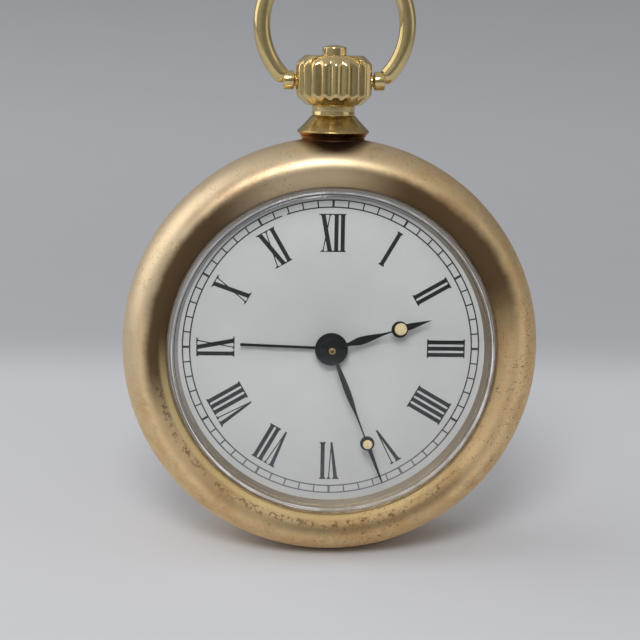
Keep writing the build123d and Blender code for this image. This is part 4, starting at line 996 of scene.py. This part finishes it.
# Half widths of the leaf-shaped hands, as shares of the length: distance and half width
hour_leaf = [(0.08, 0.019), (0.161, 0.0175), (0.215, 0.026), (0.269, 0.0375), (0.344, 0.0363)]
hour_leaf += [(0.452, 0.0215), (0.52, 0.012), (0.591, 0.0073), (0.68, 0.0073)]
hour_tip = [(0.70, 0.030), (0.763, 0.0325), (0.82, 0.0275), (0.9, 0.0155), (1.0, 0.0012)]
minute_leaf = [(0.05, 0.0118), (0.116, 0.0116), (0.2, 0.0175), (0.313, 0.0208), (0.398, 0.0162)]
minute_leaf += [(0.475, 0.0087), (0.583, 0.0052), (0.68, 0.0052)]
minute_tip = [(0.70, 0.012), (0.761, 0.0131), (0.85, 0.0105), (0.93, 0.0078), (1.0, 0.0045)]


def width_at(stations, x):
    """Half width at x, on a smooth line through the stations, and zero outside them."""
    if not stations[0][0] <= x <= stations[-1][0]:
        return 0.0
    index = max(i for i, (place, _) in enumerate(stations[:-1]) if place <= x)
    x0, y0 = stations[index]
    x1, y1 = stations[index + 1]
    share = (x - x0) / (x1 - x0)
    before = stations[max(index - 1, 0)]
    after = stations[min(index + 2, len(stations) - 1)]
    slope0 = (y1 - before[1]) / (x1 - before[0]) * (x1 - x0)
    slope1 = (after[1] - y0) / (after[0] - x0) * (x1 - x0)
    square, cube = share**2, share**3
    return (
        y0 * (2 * cube - 3 * square + 1)
        + slope0 * (cube - 2 * square + share)
        + y1 * (3 * square - 2 * cube)
        + slope1 * (cube - square)
    )


def hand_outline(reach, boss, eye_at, eye, leaves):
    """The outline of a hand: its boss, its leaves and its eye as one line."""
    rounds = [(0.0, boss), (eye_at, eye)] if eye else [(0.0, boss)]
    places = {boss + (reach - boss) * step / 140 for step in range(141)}
    for centre, radius in rounds:
        places.update(centre - radius * math.cos(math.pi * step / 32) for step in range(33))
    upper = []
    for x in sorted(place for place in places if -boss <= place <= reach):
        widths = [math.sqrt(max(radius**2 - (x - centre) ** 2, 0)) for centre, radius in rounds]
        widths += [width_at(stations, x / reach) * reach for stations in leaves]
        upper.append((x, max(widths)))
    lower = [(x, -y) for x, y in reversed(upper) if y > 1e-7]
    return upper + lower


def hand_place(clock_angle, height):
    """The dial's plane at a height, with x along a hand."""
    along = to_right * math.sin(clock_angle) + to_twelve * math.cos(clock_angle)
    return axes(along, out_of_dial.cross(along), out_of_dial, dial_centre + out_of_dial * height)


class CLOCK_OT_hands(ClockOperator, Operator):
    """Makes the hands, the paste in their eyes and the centre pin"""

    bl_idname = "desk_clock.hands"
    bl_label = "Hands"

    def execute(self, context):
        hands = context.scene.desk_clock.hands
        middle = hands.thickness / 2
        for name, body, eye_at, eye, paste, leaves in (
            ("hour", "hour_pipe", 12.7 * MM, 1.49 * MM, 1.1 * MM, (hour_leaf, hour_tip)),
            ("minute", "minute_arbor", 18.2 * MM, 1.3 * MM, 0.84 * MM, (minute_leaf, minute_tip)),
        ):
            clock_angle, height, reach, boss = (
                getattr(hands, name + "_" + key) for key in ("angle", "height", "length", "boss")
            )
            name += "_hand"
            place = hand_place(clock_angle, height + middle)
            offset = eye_at + 0.2 * MM
            hole = arc(paste, paste, 0, 352.5, 47, (offset, 0.0))
            outline = hand_outline(reach, boss, eye_at, eye, leaves)
            blade = plate([outline, hole], hands.thickness, 0.05 * MM)
            add_piece(name + "_blade", blade, place, "hand_lacquer", body, [name])
            rim = paste + 0.03 * MM
            swell = [(0, -middle), (rim, -middle)] + dome(rim, middle * 0.4, middle * 1.25, 8)
            fill = shifted(turned(swell, segments=48), x=offset)
            lume = [name + "_lume"]
            add_piece(name + "_paste", fill, place, "aged_paste", body, lume)
        place = hand_place(hands.alarm_angle, hands.alarm_height + middle)
        half_width = 0.235 * MM / hands.alarm_length
        straight = [(0.0, half_width), (1.0, half_width)]
        outline = hand_outline(hands.alarm_length, hands.alarm_boss, 0, 0, [straight])
        blade = plate([outline], hands.thickness, 0.05 * MM)
        add_piece(
            "alarm_hand_blade", blade, place, "hand_lacquer", "alarm_pipe",
            ["alarm_hand"],
        )
        radius, top = hands.pin_radius, hands.pin_top
        pin = [(0, hands.minute_height), (radius, hands.minute_height), (radius, top - 0.25 * MM)]
        pin = turned(pin + dome(radius, top - 0.22 * MM, top, 6), segments=48)
        add_piece(
            "centre_pin", pin, dial_place, "tarnished_pin_brass", "minute_arbor"
        )
        return {"FINISHED"}


class CLOCK_OT_pendant(ClockOperator, Operator):
    """Makes the double-cone collar and the polished neck"""

    bl_idname = "desk_clock.pendant"
    bl_label = "Pendant"

    def execute(self, context):
        pendant = context.scene.desk_clock.pendant
        spigot = 2.4 * MM
        foot, foot_at = pendant.collar_foot, pendant.collar_foot_at
        edge, edge_at = pendant.collar_edge, pendant.collar_edge_at
        neck, top_at = pendant.neck_radius, pendant.collar_top_at
        bowl = [
            (spigot, pendant.collar_seat_at), (foot, pendant.collar_seat_at),
            (foot + 0.04 * MM, foot_at), (foot + 0.3 * MM, foot_at + 0.62 * MM),
        ]
        cone = [
            (edge - 0.06 * MM, edge_at - 0.16 * MM), (edge, edge_at),
            (edge - 0.1 * MM, edge_at + 0.16 * MM), (neck + 1.2 * MM, top_at - 1.32 * MM),
            (neck + 0.12 * MM, top_at - 0.1 * MM), (neck - 0.05 * MM, top_at), (spigot, top_at),
        ]
        form = turned_ring(bowl + cone, 0.07 * MM, 2)
        add_piece(
            "double_cone_collar", form, pendant_place, "olive_collar_brass", "case",
            ["pendant_collar"], crease=20,
        )
        low, top, waist = pendant.collar_top_at, pendant.neck_top_at, neck - 0.1 * MM
        bore, inner_end = 1.0 * MM, 32.0 * MM
        section = [
            (bore, inner_end), (spigot, inner_end), (spigot, low), (neck - 0.12 * MM, low),
            (neck, low + 0.15 * MM), (waist, low + 0.8 * MM), (neck, top - 0.12 * MM),
            (waist, top), (bore, top),
        ]
        form = turned_ring(section, 0.08 * MM, 3, segments=128)
        add_piece(
            "polished_neck", form, pendant_place, "bright_pendant_brass", "case",
            ["pendant_neck"],
        )
        return {"FINISHED"}


class CLOCK_OT_crown(ClockOperator, Operator):
    """Makes the ribbed crown with the alarm stop button in it"""

    bl_idname = "desk_clock.crown"
    bl_label = "Crown and button"

    def execute(self, context):
        pendant = context.scene.desk_clock.pendant
        low, top, radius = pendant.neck_top_at, pendant.crown_top_at, pendant.crown_radius
        bore = pendant.button_radius + 0.06 * MM
        rod, rod_end, button_height, free_way = 0.8 * MM, 22.2 * MM, 3.4 * MM, 2.1 * MM
        button_low = pendant.button_top_at - button_height
        rod_hole, floor = 1.0 * MM, button_low - free_way
        underside, land = 5.0 * MM, 5.2 * MM
        section = [
            (rod_hole, low), (underside, low), (radius - 0.35 * MM, low + 1.4 * MM),
            (radius, low + 1.9 * MM), (radius, top - 1.7 * MM),
            (radius - 0.4 * MM, top - 1.1 * MM), (land + 0.2 * MM, top - 0.12 * MM), (land, top),
            (bore + 0.15 * MM, top), (bore, top - 0.15 * MM), (bore, floor), (rod_hole, floor),
        ]
        run_out = 1.2 * MM

        def ribs(turn, reach, height):
            """Cuts grooves into the side that run out before both ends."""
            if reach < land + 0.1 * MM:
                return reach
            from_ends = min(height - low - 0.9 * MM, top - 0.7 * MM - height)
            share = min(max(from_ends / run_out, 0), 1)
            groove = (0.5 + 0.5 * math.cos(pendant.ribs * turn)) ** 0.6
            return reach - pendant.rib_depth * share * (1 - groove)

        form = turned_ring(section, 0.5 * MM, 5, segments=pendant.ribs * 14, reshape=ribs)
        add_piece(
            "ribbed_crown", form, pendant_place, "bright_pendant_brass", "case",
            ["crown"],
        )
        radius, top = pendant.button_radius, pendant.button_top_at
        button = [
            (0, rod_end), (rod, rod_end), (rod, button_low), (radius, button_low),
            (radius, top - 0.5 * MM),
        ]
        button += dome(radius - 0.08 * MM, top - 0.4 * MM, top, 8)
        form = turned(rounded(button[:6], 0.2 * MM, 3) + button[6:], segments=64)
        add_piece(
            "domed_stop_button", form, pendant_place, "bright_pendant_brass", "stop_button",
            ["stop_button"],
        )
        return {"FINISHED"}


class CLOCK_OT_bow(ClockOperator, Operator):
    """Makes the bow: a ring of round wire with bosses and pins"""

    bl_idname = "desk_clock.bow"
    bl_label = "Bow"

    def execute(self, context):
        pendant = context.scene.desk_clock.pendant
        place = axes(to_right, -out_of_dial, to_twelve, bow_pivot)
        rise = math.sqrt(pendant.bow_radius**2 - pendant.bow_reach**2)
        opening = math.degrees(math.asin(pendant.bow_reach / pendant.bow_radius))
        steps, sides = 120, 24
        wire = bmesh.new()
        rows = []
        for step in range(steps + 1):
            turn = math.radians(opening - 90 + (360 - 2 * opening) * step / steps)
            outward = Vector((math.cos(turn), 0, math.sin(turn)))
            middle = Vector((0, 0, rise)) + outward * pendant.bow_radius
            row = []
            from_end = min((min(step, steps - step) + 0.15) / 3, 1)
            reach = pendant.bow_wire * math.sqrt(1 - (1 - from_end) ** 2)
            for side in range(sides):
                about = FULL_TURN * side / sides
                spoke = outward * math.cos(about) + Vector((0, 1, 0)) * math.sin(about)
                row.append(wire.verts.new(middle + spoke * reach))
            rows.append(row)
        for lower, upper in zip(rows, rows[1:]):
            for side in range(sides):
                after = (side + 1) % sides
                wire.faces.new((lower[side], lower[after], upper[after], upper[side]))
        wire.faces.new(rows[0][::-1])
        wire.faces.new(rows[-1])
        pin, boss = 1.0 * MM, 1.7 * MM
        pin_end, shoulder, boss_end = 4.9 * MM, 7.1 * MM, 9.1 * MM
        section = [
            (0, pin_end), (pin, pin_end), (pin, shoulder), (boss, shoulder), (boss, boss_end),
            (0, boss_end),
        ]
        forms = [wire]
        for side in (-1, 1):
            fitting = turned(rounded(section, 0.35 * MM, 4), segments=48)
            forms.append(spun(fitting, Matrix.Rotation(math.pi / 2 * side, 4, "Y")))
        add_piece(
            "round_wire_bow", joined(*forms), place, "bright_pendant_brass", "bow",
            ["bow"],
        )
        return {"FINISHED"}


class CLOCK_OT_back(ClockOperator, Operator):
    """Makes the back cover with the holes for its arbors"""

    bl_idname = "desk_clock.back"
    bl_label = "Back cover"

    def execute(self, context):
        case = context.scene.desk_clock.case
        back = context.scene.desk_clock.back
        front, low = -case.back_depth, -case.back_depth - back.cover_thickness
        outer, groove_floor = back.cover_radius, low + 0.25 * MM
        section = [
            (0, front), (outer, front), (outer, low + 0.45 * MM), (outer - 0.5 * MM, low),
            (outer - 2.2 * MM, low), (outer - 2.5 * MM, groove_floor),
            (outer - 2.9 * MM, groove_floor), (outer - 3.2 * MM, low), (0, low),
        ]
        form = turned(rounded(section, 0.15 * MM, 3), segments=192)
        cover = add_piece(
            "turned_back_cover", form, dial_place, "spun_back_brass", "case",
            ["back_cover"],
        )
        cutters = []
        for joint_name, radius in (
            ("minute_hand_turn", 1.4 * MM), ("time_key_turn", 1.7 * MM),
            ("alarm_key_turn", 1.7 * MM), ("alarm_knob_turn", 1.2 * MM),
        ):
            offset = Vector(joints[joint_name]["pos_m"]) - dial_centre
            start, end = low - MM, front + MM
            drill = turned([(0, start), (radius, start), (radius, end), (0, end)], segments=48)
            cutters.append(shifted(drill, x=offset.dot(to_right), y=offset.dot(to_twelve)))
        drills = joined(*cutters)
        bmesh.ops.recalc_face_normals(drills, faces=drills.faces)
        holder = in_scene("drills", mesh_of("drills", drills))
        holder.matrix_world = dial_place
        cut = cover.modifiers.new("holes", "BOOLEAN")
        cut.operation = "DIFFERENCE"
        cut.object = holder
        bored = evaluated_mesh(cover)
        cover.modifiers.clear()
        cover.data = bored
        shade(bored)
        bpy.data.objects.remove(holder)
        return {"FINISHED"}


class CLOCK_OT_knobs(ClockOperator, Operator):
    """Makes the two fluted setting knobs and the arbor ends in them"""

    bl_idname = "desk_clock.knobs"
    bl_label = "Setting knobs"

    def execute(self, context):
        back = context.scene.desk_clock.back
        flute_count, flute_depth = 16, 0.3 * MM
        for name, joint_name, body, radius, bore in (
            ("time_set_knob", "minute_hand_turn", "minute_arbor", back.time_knob, 1.0 * MM),
            ("alarm_set_knob", "alarm_knob_turn", "alarm_setting", back.alarm_knob, 0.8 * MM),
        ):
            low, high = -back.knob_depth, -back.knob_depth + back.knob_length
            arbor_end = low + 0.06 * MM
            section = [
                (0, arbor_end), (bore, arbor_end), (bore, low), (radius - 0.45 * MM, low),
                (radius, low + 0.4 * MM), (radius, high - 0.35 * MM), (radius - 0.5 * MM, high),
                (0, high),
            ]

            def flutes(turn, reach, height, radius=radius):
                """Cuts the flutes into the side; both faces stay flat."""
                if reach < radius * 0.8:
                    return reach
                return reach - flute_depth * (0.5 - 0.5 * math.cos(flute_count * turn)) ** 1.5

            form = turned(rounded(section, 0.18 * MM, 3), segments=flute_count * 10, reshape=flutes)
            place = arbor_place(joint_name)
            add_piece(
                name + "_fluted", form, place, "fluted_knob_brass", body, [name]
            )
        return {"FINISHED"}


class CLOCK_OT_keys(ClockOperator, Operator):
    """Makes the two winding keys with their wings"""

    bl_idname = "desk_clock.keys"
    bl_label = "Winding keys"

    def execute(self, context):
        back = context.scene.desk_clock.back
        low, high = -back.sleeve_depth, -back.sleeve_depth + back.sleeve_length
        half, waist = back.wing_span / 2, 1.5 * MM
        tip = -back.wing_depth
        outline = [
            (-waist, low + waist), (-half, low + waist / 2), (-half, tip + waist / 2),
            (-half + waist, tip), (0, low - waist / 2), (half - waist, tip),
            (half, tip + waist / 2), (half, low + waist / 2), (waist, low + waist),
        ]
        bore, radius, ledge = 1.3 * MM, back.sleeve_radius, low + 2 * MM
        section = [
            (bore, high), (bore, ledge), (0, ledge), (0, low), (radius - 0.5 * MM, low),
            (radius, low + 0.5 * MM), (radius, high - 0.9 * MM),
            (radius - 0.1 * MM, high - 0.8 * MM), (radius, high - 0.7 * MM), (radius, high),
        ]
        for name, joint_name, body in (
            ("time_key", "time_key_turn", "time_winder"),
            ("alarm_key", "alarm_key_turn", "alarm_winder"),
        ):
            sleeve = turned(rounded(section, 0.12 * MM, 3) + section[:1], segments=64)
            wings = rounded_plate(outline, 1.1 * MM, 6, back.wing_thickness, 0.3 * MM)
            place = arbor_place(joint_name)
            stand = Matrix((to_right, out_of_dial, -to_twelve)).transposed()
            spun(wings, (place.to_3x3().inverted() @ stand).to_4x4())
            add_piece(
                name + "_winged", joined(sleeve, wings), place, "fluted_knob_brass", body,
                [name],
            )
        return {"FINISHED"}


class CLOCK_OT_strut(ClockOperator, Operator):
    """Makes the strut, its hinge and the hinge pin"""

    bl_idname = "desk_clock.strut"
    bl_label = "Strut"

    def execute(self, context):
        back = context.scene.desk_clock.back
        reach = back.strut_length
        down = Vector((0, math.sqrt(reach**2 - strut_pivot.z**2), -strut_pivot.z)).normalized()
        leaf_place = axes(to_right, down, to_right.cross(down), strut_pivot)
        ear = 1.6 * MM
        neck = (back.hinge_width - 2 * ear) / 2 - 0.15 * MM
        foot = back.strut_foot / 2
        end = reach + back.strut_thickness
        outline = [
            (-neck, 0), (-neck, 2.6 * MM), (-foot, end - 1.5 * MM), (-foot, end + 2 * MM),
            (foot, end + 2 * MM), (foot, end - 1.5 * MM), (neck, 2.6 * MM), (neck, 0),
        ]
        leaf = rounded_plate(outline, 1.2 * MM, 6, back.strut_thickness, 0.25 * MM)
        leaf = level_foot(leaf, leaf_place)
        barrel = self.crosswise(back.hinge_radius, neck, 64)
        add_piece(
            "strut_leaf", joined(leaf, barrel), leaf_place, "spun_back_brass", "strut",
            ["strut"],
        )
        hinge_place = axes(to_right, to_twelve, out_of_dial, strut_pivot)
        gap = 0.15 * MM
        standoff = back.hinge_radius + gap
        half, deep, thick = back.hinge_width / 2, 2 * MM, 0.8 * MM
        base = [(-half, -deep), (half, -deep), (half, deep), (-half, deep)]
        base = rounded_plate(base, 0.5 * MM, 5, thick, 0.12 * MM)
        forms = [shifted(base, z=standoff + thick / 2)]
        for side in (-1, 1):
            profile = arc(back.hinge_radius, back.hinge_radius, 180, 360, 20)
            root = standoff + 0.3 * MM
            profile += [(back.hinge_radius, root), (-back.hinge_radius, root)]
            lug = plate([profile], ear, 0.12 * MM)
            on_edge = Matrix(((0, 0, 1), (1, 0, 0), (0, 1, 0))).to_4x4()
            forms.append(shifted(spun(lug, on_edge), x=side * (back.hinge_width - ear) / 2))
        add_piece(
            "strut_hinge_lugs", joined(*forms), hinge_place, "spun_back_brass", "case",
            ["strut_hinge"],
        )
        pin = self.crosswise(0.6 * MM, half + 0.02 * MM, 32)
        add_piece(
            "strut_pin_turned", pin, hinge_place, "turned_steel", "case",
            ["strut_hinge_pin"],
        )
        return {"FINISHED"}

    def crosswise(self, radius, half, segments):
        """A round bar from side to side."""
        section = rounded([(0, -half), (radius, -half), (radius, half), (0, half)], 0.15 * MM, 3)
        return spun(turned(section, segments=segments), Matrix.Rotation(math.pi / 2, 4, "Y"))


class CLOCK_OT_movement(ClockOperator, Operator):
    """Gives the movement's own parts their finish"""

    bl_idname = "desk_clock.movement"
    bl_label = "Movement finish"

    def execute(self, context):
        for node in frame["nodes"].values():
            if node.hide_render:
                continue
            for slot in node.material_slots:
                is_steel = slot.material.name.startswith("arbor_steel")
                slot.material = material("turned_steel" if is_steel else "movement_plate_brass")
        return {"FINISHED"}


class CLOCK_OT_stage(ClockOperator, Operator):
    """Sets the floor, the light and the camera"""

    bl_idname = "desk_clock.stage"
    bl_label = "Stage"

    def execute(self, context):
        self.floor(context)
        self.lights(context)
        self.camera(context)
        context.scene.view_settings.view_transform = "Standard"
        return {"FINISHED"}

    def floor(self, context):
        colours = context.scene.desk_clock.colours
        form = bmesh.new()
        bmesh.ops.create_grid(form, x_segments=8, y_segments=8, size=4.0)
        mesh = mesh_of("floor", form)
        finish = Finish("floor_cloth")
        depth = finish.parts()[1]
        # painted shade on the floor: darker far behind the clock, with a painted shadow of a fold
        # in a band between
        far = finish.band(depth, 80, 170)
        painted_fold_shadow_share = finish.product(finish.band(depth, 85, 130), finish.band(depth, 130, 400, 1, 0))
        painted_far_shade = [c * 0.85 for c in colours.floor]
        painted_fold_shadow = [c * 0.75 for c in colours.floor]
        cloth = finish.mixed(far, colours.floor, painted_far_shade)
        finish.driven("Base Color", finish.mixed(painted_fold_shadow_share, cloth, painted_fold_shadow))
        finish.fixed(roughness=0.9, specular_ior_level=0.2)
        finish.relief((finish.noise(0.02), 0.6))
        mesh.materials.append(finish.material)
        floor = in_scene("floor", mesh)

    def lights(self, context):
        target = Vector((0, 0, 0.04))
        for name, place, size, watts, tint in (
            ("front_ceiling", (-0.1, -0.52, 0.6), 0.27, 2.65, (1.0, 1.0, 1.0)),
            ("window_left", (-0.76, 0.18, 0.43), 0.8, 2.15, (0.99, 0.99, 1.0)),
            ("fill_right", (0.9, -0.3, 0.34), 0.6, 0.5, (1.0, 0.99, 0.98)),
        ):
            lamp = bpy.data.lights.new(name, "AREA")
            lamp.size = size
            lamp.energy = watts
            lamp.color = tint
            holder = in_scene(name, lamp)
            holder.location = place
            holder.rotation_euler = (target - Vector(place)).to_track_quat("-Z", "Y").to_euler()
        world = bpy.data.worlds.new("soft_room")
        context.scene.world = world
        room = Nodes(world, "Generated")
        x, _, z = room.parts()
        upward = room.between(z, 0.0, 1.0, 0.2, 0.48)
        leftward = room.between(x, 0.2, -0.9, 0.0, 0.18)
        backdrop = room.tree.nodes["Background"]
        room.put(backdrop.inputs["Strength"], room.total(upward, leftward))
        room.put(backdrop.inputs["Color"], (0.97, 0.98, 1.0, 1))

    def camera(self, context):
        stage = context.scene.desk_clock.stage
        cos, sin = math.cos(stage.elevation), math.sin(stage.elevation)
        back = Vector((math.sin(stage.azimuth) * cos, -math.cos(stage.azimuth) * cos, sin))
        right = Vector((0, 0, 1)).cross(back).normalized()
        up = back.cross(right)
        tilt_right = right * math.cos(stage.roll) + up * math.sin(stage.roll)
        tilt_up = up * math.cos(stage.roll) - right * math.sin(stage.roll)
        aim = Vector((stage.aim_right, 0, stage.aim_up))
        lens = bpy.data.cameras.new("photo_view")
        lens.lens = stage.lens
        lens.sensor_width = 36
        lens.clip_start = 0.01
        camera = in_scene("photo_view", lens)
        camera.matrix_world = axes(tilt_right, tilt_up, back, aim + back * stage.distance)
        context.scene.camera = camera


class CLOCK_PT_parts(Panel):
    """Lists the clock's sizes and the operators that make its pieces"""

    bl_label = "Desk Clock"
    bl_space_type = "VIEW_3D"
    bl_region_type = "UI"
    bl_category = "Desk Clock"

    def draw(self, context):
        settings = context.scene.desk_clock
        for group in ("case", "dial", "hands", "pendant", "back", "colours", "stage"):
            box = self.layout.box()
            box.label(text=group.title())
            values = getattr(settings, group)
            for key in values.bl_rna.properties.keys():
                if key not in ("rna_type", "name"):
                    box.prop(values, key)
        for operator in piece_operators:
            self.layout.operator(operator.bl_idname)


piece_operators = (
    CLOCK_OT_case, CLOCK_OT_crystal, CLOCK_OT_dial, CLOCK_OT_hands, CLOCK_OT_pendant,
    CLOCK_OT_crown, CLOCK_OT_bow, CLOCK_OT_back, CLOCK_OT_knobs, CLOCK_OT_keys, CLOCK_OT_strut,
    CLOCK_OT_movement, CLOCK_OT_stage,
)
setting_groups = (
    CaseSizes, DialSizes, HandSizes, PendantSizes, BackSizes, FinishColours, StageSettings,
    ClockSettings,
)


def register():
    for group in setting_groups + piece_operators + (CLOCK_PT_parts,):
        bpy.utils.register_class(group)
    bpy.types.Scene.desk_clock = PointerProperty(type=ClockSettings)


def unregister():
    del bpy.types.Scene.desk_clock
    for group in reversed(setting_groups + piece_operators + (CLOCK_PT_parts,)):
        bpy.utils.unregister_class(group)


def main():
    register()
    for operator in piece_operators:
        family, name = operator.bl_idname.split(".")
        if getattr(getattr(bpy.ops, family), name)() != {"FINISHED"}:
            raise RuntimeError(operator.bl_label + " wasn't made")


if __name__ == "__main__":
    main()
